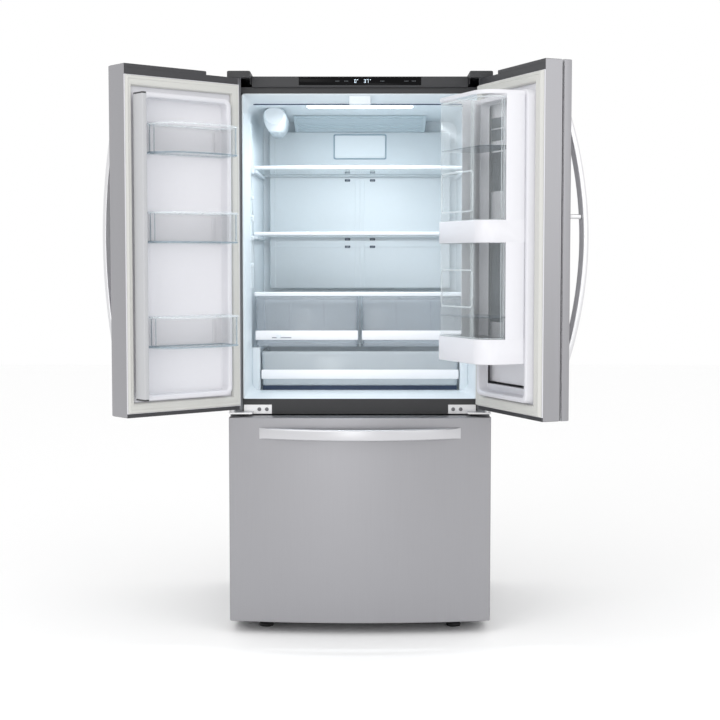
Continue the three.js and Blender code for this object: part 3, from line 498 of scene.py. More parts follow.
def clear(name, tint, least, most, rough=0.06):
    """Clear plastic or glass: nearly unseen face on, denser at a glancing angle and on its edges."""
    material = finish(name, tint, rough, grain=45, vary=0.03, relief=0.0)
    nodes, links = material.node_tree.nodes, material.node_tree.links
    facing = nodes.new("ShaderNodeLayerWeight")
    facing.inputs["Blend"].default_value = 0.4
    density = nodes.new("ShaderNodeMapRange")
    density.inputs["From Min"].default_value = 0.3
    density.inputs["To Min"].default_value = least
    density.inputs["To Max"].default_value = most
    links.new(facing.outputs["Facing"], density.inputs["Value"])
    links.new(density.outputs["Result"], nodes["Principled BSDF"].inputs["Alpha"])
    return material


shelf_glass = clear("shelf_glass", (0.66, 0.78, 0.80), 0.05, 0.40)
rim_white = moulded("rim_white", (0.80, 0.84, 0.88), 0.32, vary=0.01)
groove_top, groove_foot, pane_thick = 0.0028, 0.0072, 0.004


def glass_pane(name, shelf, front, rear, top_drop, node):
    """A pane of tempered glass with ground edges."""
    outline = rounded(shelf.x0 + 0.002, shelf.x1 - 0.002, shelf.y0 + front, shelf.y1 - rear, 0.004)
    z = shelf.z1 - top_drop
    make(name, [([raised(outline, z - pane_thick), raised(outline, z)], "capped")],
         shelf_glass, "cabinet", "shelf_glass", edge=0.0008, replaces=(node,))


def profile_across(name, section, x0, x1, material, edge):
    """A moulding of one side profile that runs across the fresh food space."""
    make(name, [([sideways(section, x0), sideways(section, x1)], "capped")], material, "cabinet", "liner_white",
         edge=edge)


for label, shelf in (("upper", upper), ("lower", lower)):
    glass_pane(f"shelf_pane_{label}", shelf, 0.005, 0.004, 0.003, f"shelf_{label}")
    front, behind, z = shelf.y0, shelf.y0 + 0.016, shelf.z1
    nose = [(front + 0.003, z), (behind, z), (behind, z - groove_top), (front + 0.006, z - groove_top),
            (front + 0.006, z - groove_foot), (behind, z - groove_foot), (behind, z - 0.009),
            (front + 0.004, shelf.z0), (front, shelf.z0 + 0.003), (front, z - 0.003)]
    profile_across(f"shelf_rim_{label}", nose, shelf.x0, shelf.x1, rim_white, 0.0008)
    rear, ahead = shelf.y1, shelf.y1 - 0.010
    heel = [(ahead, z - 0.0095), (rear, z - 0.0095), (rear, z - 0.0005), (ahead, z - 0.0005),
            (ahead, z - groove_top), (rear - 0.0035, z - groove_top), (rear - 0.0035, z - groove_foot),
            (ahead, z - groove_foot)]
    profile_across(f"shelf_heel_{label}", heel, shelf.x0 + 0.004, shelf.x1 - 0.004, fresh_white, 0.0005)

# ---------------------------------------------------------------------------------------- crispers and pantry
# Two clear drawers under a glass cover, with a thin divider between them, and a wide shallow
# pantry drawer below. Each has a white grip strip, and the left one a small humidity slider.

glass_pane("crisper_pane", cover, 0.006, 0.003, 0.003, "crisper_cover")
cover_rim = 0.014
front, behind, z = cover.y0, cover.y0 + cover_rim, cover.z1
cover_nose = [(front + 0.003, z), (behind, z), (behind, z - groove_top), (front + 0.007, z - groove_top),
              (front + 0.007, z - groove_foot), (behind, z - groove_foot), (behind, z - cover_rim),
              (front + 0.002, z - cover_rim), (front, z - cover_rim + 0.002), (front, z - 0.003)]
profile_across("crisper_rim", cover_nose, cover.x0, cover.x1, rim_white, 0.0008)

drawer_clear = clear("drawer_clear", (0.78, 0.86, 0.94), 0.18, 0.62)
make("crisper_divider", [
    block(middle - 0.004, middle + 0.004, cover.y0 + 0.02, cover.y1 - 0.002, cover.z0 + 0.001,
          cover.z1 - 0.0075, 0.003),
], drawer_clear, "cabinet", "clear_plastic", edge=0.0008)


def tray(e, side, front, thick, radius, lean=0.0):
    """Open drawer: narrower by lean at its foot, with round corners and a round-edged floor."""
    def plan(inset, z):
        foot = inset + lean * (e.z1 - z) / (e.z1 - e.z0)
        return raised(rounded(e.x0 + side + foot, e.x1 - side - foot, e.y0 + front + inset, e.y1 - foot,
                              max(0.001, radius - inset), 6), z)
    return [plan(0.004, e.z0), plan(0.001, e.z0 + 0.0015), plan(0, e.z0 + 0.004), plan(0, e.z1 - 0.001),
            plan(0.0005, e.z1), plan(thick - 0.0005, e.z1), plan(thick, e.z1 - 0.001),
            plan(thick, e.z0 + thick + 0.003), plan(thick + 0.003, e.z0 + thick)], "capped"


strip_proud, strip_high, drawer_wall = 0.003, 0.031, 0.0025
grip_white = moulded("grip_white", (0.88, 0.89, 0.92), 0.32)


def clear_drawer(label, e, body, material, strip_low, ribs):
    """A clear drawer with a white grip strip, a rim lip and faint ribs inside its front wall."""
    make(f"{label[0]}_bin{label[1]}", [tray(e, 0, strip_proud, drawer_wall, 0.014, 0.004)],
         material, body, "clear_plastic", soft_angle=50, replaces=(body,))
    y, strip_top = e.y0 + strip_proud, strip_low + strip_high
    face = y - strip_proud + 0.0002
    section = [(y + 0.0005, strip_low + 0.002), (y + 0.0005, strip_top), (y - 0.002, strip_top),
               (face, strip_top - 0.002), (face, strip_low + 0.009), (face + 0.0008, strip_low + 0.003),
               (y - 0.001, strip_low)]
    make(f"{label[0]}_grip{label[1]}", [([sideways(section, e.x0 + 0.0005), sideways(section, e.x1 - 0.0005)],
                                         "capped")], grip_white, body, "door_white", edge=0.0006)
    inside = y + 0.0026
    shells = [block(e.x0 + 0.003, e.x1 - 0.003, inside, y + 0.0042, e.z1 - 0.010, e.z1 - 0.004, 0.0008)]
    for i in range(1, ribs + 1):
        x = e.x0 + (e.x1 - e.x0) * i / (ribs + 1)
        shells.append(block(x - 0.001, x + 0.001, inside, y + 0.005, strip_top + 0.01, e.z1 - 0.012, 0.0008))
    make(f"{label[0]}_ribs{label[1]}", shells, drawer_clear, body, "clear_plastic")


knob = Extent("humidity_slider")
for side in ("left", "right"):
    clear_drawer(("crisper", f"_{side}"), Extent(f"crisper_{side}"), f"crisper_{side}", drawer_clear,
                 knob.z0 - 0.004, 2)
pantry_clear = clear("pantry_clear", (0.86, 0.93, 0.99), 0.34, 0.66)
clear_drawer(("pantry", ""), pantry, "pantry_drawer", pantry_clear, pantry.z0 + 0.022, 4)

# The humidity slider's pointer, and the dark track that it slides along.
pointer = [(knob.x0, knob.z0 + 0.005), (knob.x, knob.z0), (knob.x1, knob.z0 + 0.005),
           (knob.x1, knob.z1 - 0.001), (knob.x0, knob.z1 - 0.001)]
make("humidity_pointer", [([upright(pointer, knob.y1), upright(pointer, knob.y0 + 0.001)], "capped"),
                          block(knob.x - 0.0025, knob.x + 0.0025, knob.y0, knob.y0 + 0.002,
                                knob.z0 + 0.004, knob.z1 - 0.002, 0.001)],
     rim_white, "humidity_slider", "door_white", edge=0.0006, replaces=("humidity_slider",))
track_grey = finish("mark_grey", (0.10, 0.12, 0.16), 0.6, grain=200, vary=0.1)
make("humidity_track", [block(knob.x - 0.022, knob.x + 0.042, knob.y1 + 0.0002, knob.y1 + 0.0005,
                              knob.z0 + 0.002, knob.z0 + 0.0045, 0.001)],
     track_grey, "crisper_left", "dark_plastic")

# ----------------------------------------------------------------------------------- top trim and display
# Dark plastic trim along the top of the case, in an upper band that holds the glossy black
# display panel and a lower band set back from it, closing the gap above the doors' gaskets.

trim_dark = finish("trim_dark", (0.026, 0.0265, 0.029), 0.5, grain=500, vary=0.08, relief=0.00002)
trim, panel = Extent("top_trim"), Extent("display_panel")
dress(trim_dark, "top_trim")
gloss_black = finish("display_black", (0.0015, 0.0015, 0.002), 0.2, grain=40, vary=0.2, relief=0.0)
set_shader(gloss_black, {"Specular IOR Level": 0.1})
make("display_glass", [([
    front_ring(panel, 0, panel.y1, 0.002), front_ring(panel, 0, panel.y0 + 0.0005, 0.002),
    front_ring(panel, 0.0005, panel.y0, 0.002),
], "capped")], gloss_black, "cabinet", "display_black", replaces=("display_panel",))

# Seven-segment digits and round degree marks, lit pale blue behind the glass, and the key marks.
digit_light = finish("digit_light", (0.8, 0.9, 1.0), 0.5, grain=300, vary=0.02)
set_shader(digit_light, {"Emission Color": (0.75, 0.9, 1.0, 1), "Emission Strength": 0.8})
segments = {"0": "abcdef", "3": "abcdg", "7": "abc"}
digit_wide, digit_half, stroke, digit_pitch, print_thick = 0.0055, 0.00525, 0.0009, 0.0085, 0.0002
print_y0, print_y1 = panel.y0 - print_thick, panel.y0 + print_thick
marks = []
for digit, start in (("0", -0.0175), ("3", 0.0125), ("7", 0.0125 + digit_pitch)):
    x, z = panel.x + start, panel.z
    left, right, foot, head = x + stroke, x + digit_wide - stroke, z - digit_half, z + digit_half
    strokes = {
        "a": (x, x + digit_wide, head - stroke, head), "d": (x, x + digit_wide, foot, foot + stroke),
        "g": (x, x + digit_wide, z - stroke / 2, z + stroke / 2),
        "f": (x, left, z, head), "e": (x, left, foot, z),
        "b": (right, x + digit_wide, z, head), "c": (right, x + digit_wide, foot, z),
    }
    for letter in segments[digit]:
        x0, x1, z0, z1 = strokes[letter]
        marks.append(block(x0, x1, print_y0, print_y1, z0, z1, 0.0002))
for offset in (-0.0075, 0.0325):
    marks.append(turned_on([(0.0013, -print_thick), (0.0013, print_thick)],
                           (panel.x + offset, panel.y0, panel.z + 0.0042), "y", 12))
make("display_digits", marks, digit_light, "cabinet", "lamp_white")
key_grey = finish("key_grey", (0.10, 0.11, 0.12), 0.5, grain=300, vary=0.05)
dash_pitch, dash_half = 0.0045, 0.0016
keys = []
for offset in (-0.076, -0.048, 0.066, 0.142, 0.165):
    for dash in range(3):
        x = panel.x + offset + dash * dash_pitch
        keys.append(block(x - dash_half, x + dash_half, print_y0, print_y1, panel.z - 0.001,
                          panel.z + 0.001, 0.0006))
make("display_keys", keys, key_grey, "cabinet", "lamp_white")

# ---------------------------------------------------------------------------------------- rail and hinges
# A dark rail closes the front between the two compartments. The doors stand on zinc-plated middle
# brackets screwed to it, and hang from top brackets under dark plastic covers.

dress(trim_dark, "center_mullion")
dress(zinc, "hinge_top_left", "hinge_top_right", "hinge_middle_left", "hinge_middle_right")
screw_grey = finish("screw_grey", (0.16, 0.16, 0.17), 0.35, metal=0.8, grain=900, vary=0.08, relief=0.00002)
pan_head = [(0.0062, 0.0), (0.0062, -0.0008), (0.0052, -0.0022), (0.0022, -0.0024), (0.0018, -0.0010)]
plate_face = Extent("center_mullion").y0 - 0.0034
apron_low, apron_high, skirt_long = case_top - 0.0095, case_top + 0.006, 0.068
for side, sign in (("left", -1), ("right", 1)):
    bracket = Extent(f"hinge_middle_{side}")
    inner_x = bracket.x1 if sign < 0 else bracket.x0
    make(f"middle_hinge_screws_{side}",
         [turned_on(pan_head, (inner_x + sign * along, plate_face, bracket.z0 + 0.0145), "y")
          for along in (0.016, 0.040)],
         screw_grey, "cabinet", "zinc")

    lid = Extent(f"hinge_cover_{side}")
    make(f"top_hinge_cover_{side}", [([
        plan_ring(lid, 0, case_top + 0.0048, 0.006), plan_ring(lid, 0, lid.z1 - 0.003, 0.006),
        plan_ring(lid, 0.001, lid.z1 - 0.001, 0.006), plan_ring(lid, 0.003, lid.z1, 0.006),
    ], "capped")], trim_dark, "cabinet", "dark_plastic", soft_angle=50, replaces=(f"hinge_cover_{side}",))
    inner_side, wall_end = (lid.x1, lid.x1 - 0.002) if sign < 0 else (lid.x0, lid.x0 + 0.002)
    wall_x0, wall_x1 = sorted((inner_side, wall_end))
    make(f"top_hinge_apron_{side}", [
        block(lid.x0 + 0.0005, lid.x1 - 0.0005, lid.y0 + 0.0002, lid.y0 + 0.0022, apron_low,
              apron_high, 0.0008),
        block(wall_x0, wall_x1, lid.y0 + 0.001, trim.y0 - 0.0005, apron_low, apron_high, 0.0008),
    ], trim_dark, "cabinet", "dark_plastic", edge=0.0005)
    skirt_x0, skirt_x1 = sorted((inner_side, lid.x0 + skirt_long if sign < 0 else lid.x1 - skirt_long))
    make(f"top_hinge_skirt_{side}", [block(skirt_x0, skirt_x1, trim.y0 + 0.0025, case_front - 0.001,
                                           case_top - 0.024, case_top + 0.005, 0.002)],
         trim_dark, "cabinet", "dark_plastic", edge=0.001)

# ------------------------------------------------------------------------- freezer space and compressor
# The freezer has a liner of its own with a stepped back, and a cover over the evaporator. Behind
# the step, a welded black steel compressor stands on the base on rubber feet.

dress(liner_white, "freezer_liner")
enamel = finish("black_enamel", (0.012, 0.012, 0.014), 0.3, metal=0.2, grain=300, vary=0.2, relief=0.00004)
pump = Extent("compressor")
radius, pump_high, foot_out = (pump.x1 - pump.x0) / 2, pump.z1 - pump.z0, 0.6
make("compressor_shell", [
    turned_on([
        (radius * 0.68, 0.004), (radius * 0.82, 0.008), (radius * 0.94, 0.02), (radius * 0.99, 0.036),
        (radius * 0.99, 0.082), (radius, 0.084), (radius, 0.092), (radius * 0.985, 0.094),
        (radius * 0.985, pump_high - 0.036), (radius * 0.94, pump_high - 0.02),
        (radius * 0.84, pump_high - 0.010), (radius * 0.5, pump_high - 0.0035), (0.0, pump_high),
    ], (pump.x, pump.y, pump.z0), "z", 40),
    *[turned_on([(0.010, 0.0), (0.011, 0.002), (0.010, 0.006), (0.008, 0.012)],
                (pump.x + sx * radius * foot_out, pump.y + sy * radius * foot_out, pump.z0), "z", 16)
      for sx in (-1, 1) for sy in (-1, 1)],
], enamel, "cabinet", "black_enamel", soft_angle=30, replaces=("compressor",))

# ---------------------------------------------------------------------------------------- left door
# A brushed stainless skin is bowed over foam between two dark end caps. The white inner panel is
# vacuum-formed with a raised frame round it, and a magnetic gasket is pressed in around that.


def swing_of(joint_name):
    """From the shut place to the rest place of a door."""
    joint = next(j for j in frame["joints"] if j["name"] == joint_name)
    turn = Matrix.Rotation(-math.radians(joint["range_deg"][0]), 4, Vector(joint["axis"]))
    centre = Vector(joint["pos_m"])
    return Matrix.Translation(centre) @ turn @ Matrix.Translation(-centre)


bow_side, bow_rise, corner_roll, skin_thick = 0.070, 0.034, 0.0035, 0.0012


def bow_y(x, inset=0.0):
    """Depth of the doors' curved face at a distance across."""
    return case_front - bow_side - bow_rise * (1 - ((x - middle) / case_half) ** 2) + inset


def bow_plan(x0, x1, back, inset=0.0, corner=corner_roll, steps=24):
    """Section of a door: its curved face with rolled corners, and its flat back."""
    start, length = x0 + corner, x1 - x0 - 2 * corner
    front = [(start + length * i / steps, bow_y(start + length * i / steps, inset)) for i in range(steps + 1)]
    roll = [(corner * (1 - math.cos(a)), corner * (1 - math.sin(a)) + 0.0004) for a in (0.0, 0.4, 0.8, 1.2)]
    left = [(x0 + across, bow_y(x0, inset) + deep) for across, deep in roll]
    right = [(x1 - across, bow_y(x1, inset) + deep) for across, deep in roll[::-1]]
    return [(x0, back)] + left + front + right + [(x1, back)]


steel = finish("brushed_steel", (0.33, 0.328, 0.345), 0.36, metal=0.75, grain=(900, 900, 6), vary=0.05,
               relief=0.000006)
cap_dark = finish("cap_dark", (0.036, 0.036, 0.040), 0.45, grain=400, vary=0.08, relief=0.00002)
door_white = moulded("door_white", (0.66, 0.66, 0.695), grain=60)
left_swing, right_swing = swing_of("left_door_hinge"), swing_of("right_door_hinge")
cap_step, cap_zone, cap_over = 0.011, 0.120, 0.0014
low_skin, high_skin = Extent("left_cap_bottom").z0 + 0.0015, Extent("left_cap_top").z1 - 0.0015

left_skin = Extent("left_door_skin", left_swing)
skin_shells = []
for x0, x1, z0, z1 in ((left_skin.x0, left_skin.x1, low_skin, high_skin - cap_step),
                       (left_skin.x0 + cap_zone, left_skin.x1, high_skin - cap_step - 0.0001, high_skin)):
    inner = bow_plan(x0 + skin_thick, x1 - skin_thick, left_skin.y1, skin_thick, 0.003)[::-1]
    sheet = bow_plan(x0, x1, left_skin.y1) + inner
    skin_shells.append(([raised(sheet, z0), raised(sheet, z1)], "capped"))
make("left_skin", skin_shells, steel, "left_door", "stainless", swing=left_swing, soft_angle=25,
     replaces=("left_door_skin",))


def end_caps(prefix, swing, plan_of, hinge_left):
    """Top cap, lower near the hinge, and bottom cap, both with softened edges."""
    top_cap, low_cap = Extent(f"{prefix}_cap_top", swing), Extent(f"{prefix}_cap_bottom", swing)
    step_z = top_cap.z1 - cap_step
    high = (top_cap.x0 + cap_zone, top_cap.x1) if hinge_left else (top_cap.x0, top_cap.x1 - cap_zone)
    top_parts = [(top_cap.x0, top_cap.x1, top_cap.z0, step_z), (*high, step_z - 0.001, top_cap.z1)]
    low_parts = [(low_cap.x0, low_cap.x1, low_cap.z0, low_cap.z1)]
    soft = 0.0015
    for place, parts in (("top", top_parts), ("bottom", low_parts)):
        shells = []
        for x0, x1, z0, z1 in parts:
            drawn_in, full = plan_of(x0 + soft, x1 - soft, soft), plan_of(x0, x1, 0)
            shells.append(([raised(drawn_in, z0), raised(full, z0 + soft), raised(full, z1 - soft),
                            raised(drawn_in, z1)], "capped"))
        make(f"{prefix}_{place}_cap", shells, cap_dark, f"{prefix}_door", "dark_plastic", swing=swing,
             soft_angle=35, replaces=(f"{prefix}_cap_{place}",))


end_caps("left", left_swing,
         lambda x0, x1, r: bow_plan(x0 + cap_over, x1 - cap_over, left_skin.y1, r + cap_over), True)
gasket_grey = finish("gasket_grey", (0.56, 0.56, 0.535), 0.6, grain=300, vary=0.03, relief=0.00001)
lips = [(0, 0), (0, 0.35), (0.05, 0.72), (0.12, 0.95), (0.20, 1), (0.30, 1), (0.34, 0.97), (0.37, 0.90),
        (0.40, 0.97), (0.44, 1), (0.80, 1), (0.88, 0.95), (0.95, 0.72), (1, 0.35), (1, 0)]


def gasket(name, node, swing, body, low_band, high_band, ends):
    """A magnetic gasket: a bellows with two soft lips, mitred and welded at its corners."""
    e = Extent(node, swing)
    rings = []
    for across, out in lips:
        x0, x1 = e.x0 + low_band * across, e.x1 - high_band * across
        z0, z1 = e.z0 + ends * across, e.z1 - ends * across
        y = e.y0 + (e.y1 - e.y0) * out
        rings.append([(x1, y, z1), (x0, y, z1), (x0, y, z0), (x1, y, z0)])
    make(name, [(rings, "joined")], gasket_grey, body, "gasket_grey", swing=swing, soft_angle=35,
         replaces=(node,))


panel_plate = 0.0027


def inner_panel(name, node, swing, body, frame_box, hole=None):
    """A door's inner panel: flat edge, raised frame with soft shoulders, and a recessed field or a hole."""
    e = Extent(node, swing)
    fx0, fx1, fz0, fz1 = frame_box
    plate = e.y0 + panel_plate
    crest = plate + (e.y1 - e.y0 - panel_plate)

    def at(inset, y, radius):
        return upright(rounded(fx0 + inset, fx1 - inset, fz0 + inset, fz1 - inset, radius, 6), y)

    edge = rounded(e.x0, e.x1, e.z0, e.z1, 0.001, 6)
    rings = [upright(edge, e.y0), upright(edge, plate), at(-0.002, plate, 0.026), at(0, plate + 0.002, 0.024),
             at(0.001, crest - 0.005, 0.023), at(0.0025, crest - 0.0015, 0.022), at(0.005, crest, 0.020),
             at(0.013, crest, 0.016), at(0.0155, crest - 0.0015, 0.015), at(0.017, crest - 0.005, 0.014),
             at(0.018, plate + 0.003, 0.013), at(0.021, plate, 0.012)]
    if hole:
        rings += [upright(rounded(*hole, 0.004, 6), plate), upright(rounded(*hole, 0.004, 6), e.y0)]
    make(name, [(rings, "joined" if hole else "capped")], door_white, body, "door_white", swing=swing,
         soft_angle=50, replaces=(node,))


gasket("left_gasket", "left_door_gasket", left_swing, "left_door", 0.030, 0.015, 0.032)
bin_box, dyke_width = Extent("left_door_bin_1", left_swing), 0.020
frame_low, frame_high = Extent("mullion_flap").z0 - 0.004, Extent("mullion_flap").z1 + 0.005
left_frame = (bin_box.x0 - dyke_width, bin_box.x1 + dyke_width, frame_low, frame_high)
inner_panel("left_inner_panel", "left_door_liner", left_swing, "left_door", left_frame)

# Clear bins: a long faceted front, a bright lip round the rim, darker edges and a rounded foot.
field_y = Extent("left_door_liner", left_swing).y0 + panel_plate
lip_clear = clear("lip_clear", (0.78, 0.84, 0.87), 0.30, 0.85)
bin_clear = clear("bin_clear", (0.66, 0.73, 0.77), 0.012, 0.38)
bin_edge = clear("bin_edge", (0.40, 0.51, 0.58), 0.40, 0.80)
bin_wall, lip_high = 0.0025, 0.006


def faceted(e, inset, z):
    """Ring of a left door bin at a height, drawn in from its outside by inset."""
    x0, x1, y0, y1 = e.x0, e.x1, e.y0, e.y1
    return raised([
        (x1 - inset, y0 + inset), (x1 - inset, y1 - 0.086 - inset * 0.3),
        (x1 - 0.006 - inset, y1 - 0.070 - inset * 0.5),
        (x1 - 0.043 - inset * 0.5, y1 - 0.014 - inset * 0.8), (x1 - 0.060 - inset * 0.2, y1 - 0.007 - inset),
        (x1 - 0.125, y1 - 0.0005 - inset), (x1 - 0.150, y1 - 0.0005 - inset), (x1 - 0.210, y1 - 0.0045 - inset),
        (x0 + 0.012 + inset * 0.9, y1 - 0.0215 - inset), (x0 + 0.003 + inset * 0.9, y1 - 0.027 - inset * 0.8),
        (x0 + inset, y1 - 0.038 - inset * 0.4), (x0 + inset, y0 + inset)], z)


bosses = []
for number in (1, 2, 3):
    e = Extent(f"left_door_bin_{number}", left_swing)
    rim_z = e.z1 - lip_high
    make(f"left_bin_{number}", [([
        faceted(e, 0.006, e.z0), faceted(e, 0.0025, e.z0 + 0.0015), faceted(e, 0.0008, e.z0 + 0.006),
        faceted(e, 0.0004, rim_z), faceted(e, bin_wall, rim_z), faceted(e, bin_wall, e.z0 + 0.008),
        faceted(e, 0.007, e.z0 + bin_wall),
    ], "capped")], bin_clear, "left_door", "clear_plastic", swing=left_swing, soft_angle=20,
         replaces=(f"left_door_bin_{number}",))
    make(f"left_bin_lip_{number}", [([
        faceted(e, 0.0, e.z1 - 0.0058), faceted(e, 0.0, e.z1 - 0.001), faceted(e, 0.0008, e.z1),
        faceted(e, bin_wall, e.z1), faceted(e, bin_wall + 0.0006, e.z1 - 0.001),
        faceted(e, bin_wall + 0.0004, e.z1 - 0.0058),
    ], "joined")], lip_clear, "left_door", "clear_plastic", swing=left_swing, soft_angle=20)
    for x in (e.x0 + 0.030, e.x1 - 0.030):
        bosses.append(block(x - 0.006, x + 0.006, field_y - 0.0005, field_y + 0.0022, e.z0 + 0.012,
                            e.z1 - 0.015, 0.003))
    rib_y = e.y1 - 0.0215 - bin_wall
    ribs = []
    for rib in range(5):
        x = e.x0 + 0.016 + rib * 0.006
        ribs.append(block(x - 0.0007, x + 0.0007, rib_y - 0.0018, rib_y + 0.0006, e.z0 + 0.012,
                          e.z1 - 0.012, 0.0004))
    make(f"left_bin_ribs_{number}", ribs, bin_clear, "left_door", "clear_plastic", swing=left_swing)
    foot_low, foot_high = e.z0 + 0.003, e.z0 + 0.0075
    edges = [([faceted(e, 0.0008, foot_low), faceted(e, 0.0004, foot_high), faceted(e, bin_wall, foot_high),
               faceted(e, bin_wall, foot_low)], "joined")]
    for x, y in ((e.x1 - 0.0022, e.y1 - 0.0840), (e.x1 - 0.0085, e.y1 - 0.0705), (e.x0 + 0.0024, e.y1 - 0.0370),
                 (e.x0 + 0.0145, e.y1 - 0.0240)):
        edges.append(bar(x, y, 0.0009, 0.0009, e.z0 + 0.005, rim_z, 0.0005))
    make(f"left_bin_edges_{number}", edges, bin_edge, "left_door", "clear_plastic", swing=left_swing)
make("left_panel_bosses", bosses, door_white, "left_door", "door_white", edge=0.0008, swing=left_swing)

# Bow handle: a solid-looking crescent of brushed aluminium, screwed to the skin at its two feet.
handle_bright = finish("handle_bright", (0.70, 0.70, 0.715), 0.3, metal=0.8, grain=(800, 800, 8), vary=0.03,
                       relief=0.0)
bow_steps = 56


def along_bow(start, length, i):
    """Stations along a bow, closer together towards its feet."""
    return start + length * (0.0015 + 0.997 * (0.5 - 0.5 * math.cos(math.pi * i / bow_steps)))


def arch(t):
    return math.sin(math.pi * min(1, max(0, t))) ** 0.8


def crescent(t, length, reach, thick, taper):
    """How far a bow's outer and inner faces stand out, at a share of its length."""
    solid_end = taper / length
    hollow = 0
    if abs(t - 0.5) < 0.5 - solid_end:
        hollow = (reach - thick) * arch((t - solid_end) / (1 - 2 * solid_end))
    return reach * arch(t), hollow


def bow_handle(name, node, swing, body, reach=0.071, thick=0.018, taper=0.055):
    e = Extent(node, swing)
    foot, length = e.y0 + reach, e.z1 - e.z0
    rings = []
    for i in range(bow_steps + 1):
        z = along_bow(e.z0, length, i)
        out, hollow = crescent((z - e.z0) / length, length, reach, thick, taper)
        outline = rounded(e.x0, e.x1, foot - out, foot - hollow + 0.00005, min(0.005, (out - hollow) * 0.45), 4)
        rings.append(raised(outline, z))
    make(name, [(rings, "capped")], handle_bright, body, "stainless", swing=swing, soft_angle=50,
         replaces=(node,))


bow_handle("left_handle", "left_door_handle", left_swing, "left_door")

# Folding flap: a grey plastic case with dark end pieces, on two small hinges.
flap_grey = finish("flap_grey", (0.45, 0.455, 0.47), 0.4, grain=300, vary=0.04, relief=0.00004)
flap = Extent("mullion_flap", left_swing)
flap_end, flap_corner = 0.005, 0.003
make("flap_case", [([plan_ring(flap, 0, flap.z0 + flap_end, flap_corner),
                     plan_ring(flap, 0, flap.z1 - flap_end, flap_corner)], "capped")],
     flap_grey, "mullion_flap", "flap_grey", swing=left_swing, replaces=("mullion_flap",))
make("flap_ends", [
    ([plan_ring(flap, 0.001, z0, flap_corner), plan_ring(flap, 0.0003, (z0 + z1) / 2, flap_corner),
      plan_ring(flap, 0.001, z1, flap_corner)], "capped")
    for z0, z1 in ((flap.z0, flap.z0 + flap_end + 0.0005), (flap.z1 - flap_end - 0.0005, flap.z1))
], cap_dark, "mullion_flap", "flap_grey", swing=left_swing)

# ---------------------------------------------------------------------------------------- right door
# The right door is a frame with a tall opening. A white carrier with two large clear baskets hangs
# on its inner panel, so the baskets are reached from inside or through the small outer door.

dress(steel, "right_door_frame")
frame_box = Extent("right_door_frame", right_swing)
split_free, split_hinge = 0.071, 0.058


def split_plan(x0, x1, inset):
    """Section of the right door's frame: a slanted front and a flat back."""
    def front(x):
        share = (x - frame_box.x0) / (frame_box.x1 - frame_box.x0)
        return case_front - split_free + (split_free - split_hinge) * share + inset
    return [(x0, frame_box.y1), (x0, front(x0)), (x1, front(x1)), (x1, frame_box.y1)]


end_caps("right", right_swing, lambda x0, x1, r: split_plan(x0 + cap_over, x1, r), False)
edge_sheet = split_plan(frame_box.x0, frame_box.x0 + skin_thick, 0)
make("right_edge_sheet", [([raised(edge_sheet, z0), raised(edge_sheet, z1)], "capped")
                          for z0, z1 in ((low_skin, frame_box.z0), (frame_box.z1, high_skin))],
     steel, "right_door", "stainless", swing=right_swing)
gasket("right_gasket", "right_door_gasket", right_swing, "right_door", 0.034, 0.030, 0.032)
carrier = Extent("basket_carrier", right_swing)
window = (middle + 0.060, carrier.x1 + 0.022, 0.806, case_top - 0.080)
right_frame = (frame_box.x0 + 0.0405, 2 * middle - left_frame[0], frame_low, frame_high)
inner_panel("right_inner_panel", "right_door_liner", right_swing, "right_door", right_frame, window)

# The carrier: a tray at its foot, two upright bands across it, and slim posts between them.
carrier_round, hinge_round = 0.060, 0.008


def carrier_plan(inset, back, steps=12, turn_steps=4):
    """Open plan of the carrier or a basket: square at the hinge end, well rounded at the other."""
    x0, x1, y1 = carrier.x0 + inset, carrier.x1 - inset, carrier.y1 - inset
    r, r2 = carrier_round - inset, max(0.002, hinge_round - inset)
    arc = [(x0 + r - r * math.cos(a), y1 - r + r * math.sin(a))
           for a in [math.pi / 2 * i / steps for i in range(steps + 1)]]
    turn = [(x1 - r2 + r2 * math.sin(a), y1 - r2 + r2 * math.cos(a))
            for a in [math.pi / 2 * i / turn_steps for i in range(turn_steps + 1)]]
    return [(x0, back)] + arc + turn + [(x1, back)]


def carrier_ring(inset, z, back=carrier.y0):
    return raised(carrier_plan(inset, back), z)


def band(outside, inside, z0, z1, soft=0.0012):
    """An upright U-shaped band of the carrier, its long edges softened."""
    def both(drawn_in, z):
        outer = carrier_plan(outside + drawn_in, carrier.y0)
        return raised(outer + carrier_plan(inside - drawn_in * 0.5, carrier.y0)[::-1], z)
    return [both(soft, z0), both(0, z0 + soft), both(0, z1 - soft), both(soft, z1)], "capped"


thin, tray_top, top_low = 0.003, carrier.z0 + 0.074, carrier.z1 - 0.012
band_low, band_high = carrier.z0 + 0.356, carrier.z0 + 0.422
side_y = case_front + 0.080
carrier_shells = [
    ([carrier_ring(inset, z) for inset, z in (
        (0.004, carrier.z0), (0.001, carrier.z0 + 0.0015), (0, carrier.z0 + 0.005), (0, tray_top - 0.001),
        (0.0008, tray_top), (thin - 0.0008, tray_top), (thin, tray_top - 0.001), (thin, carrier.z0 + 0.005),
        (thin + 0.002, carrier.z0 + thin))], "capped"),
    band(0, thin, band_low, band_high),
    band(0, thin, top_low, carrier.z1),
]
for low, high in ((tray_top - 0.002, band_low + 0.002), (band_high - 0.002, top_low + 0.002)):
    for x0, x1 in ((carrier.x0 + 0.00005, carrier.x0 + thin - 0.00005),
                   (carrier.x1 - thin + 0.00005, carrier.x1 - 0.00005)):
        carrier_shells.append(block(x0, x1, carrier.y0 + 0.0001, side_y, low, high, 0.0012))
make("basket_carrier_shell", carrier_shells, moulded("carrier_white", (0.70, 0.70, 0.735), grain=60),
     "right_door", "door_white", swing=right_swing, soft_angle=45, replaces=("basket_carrier",))

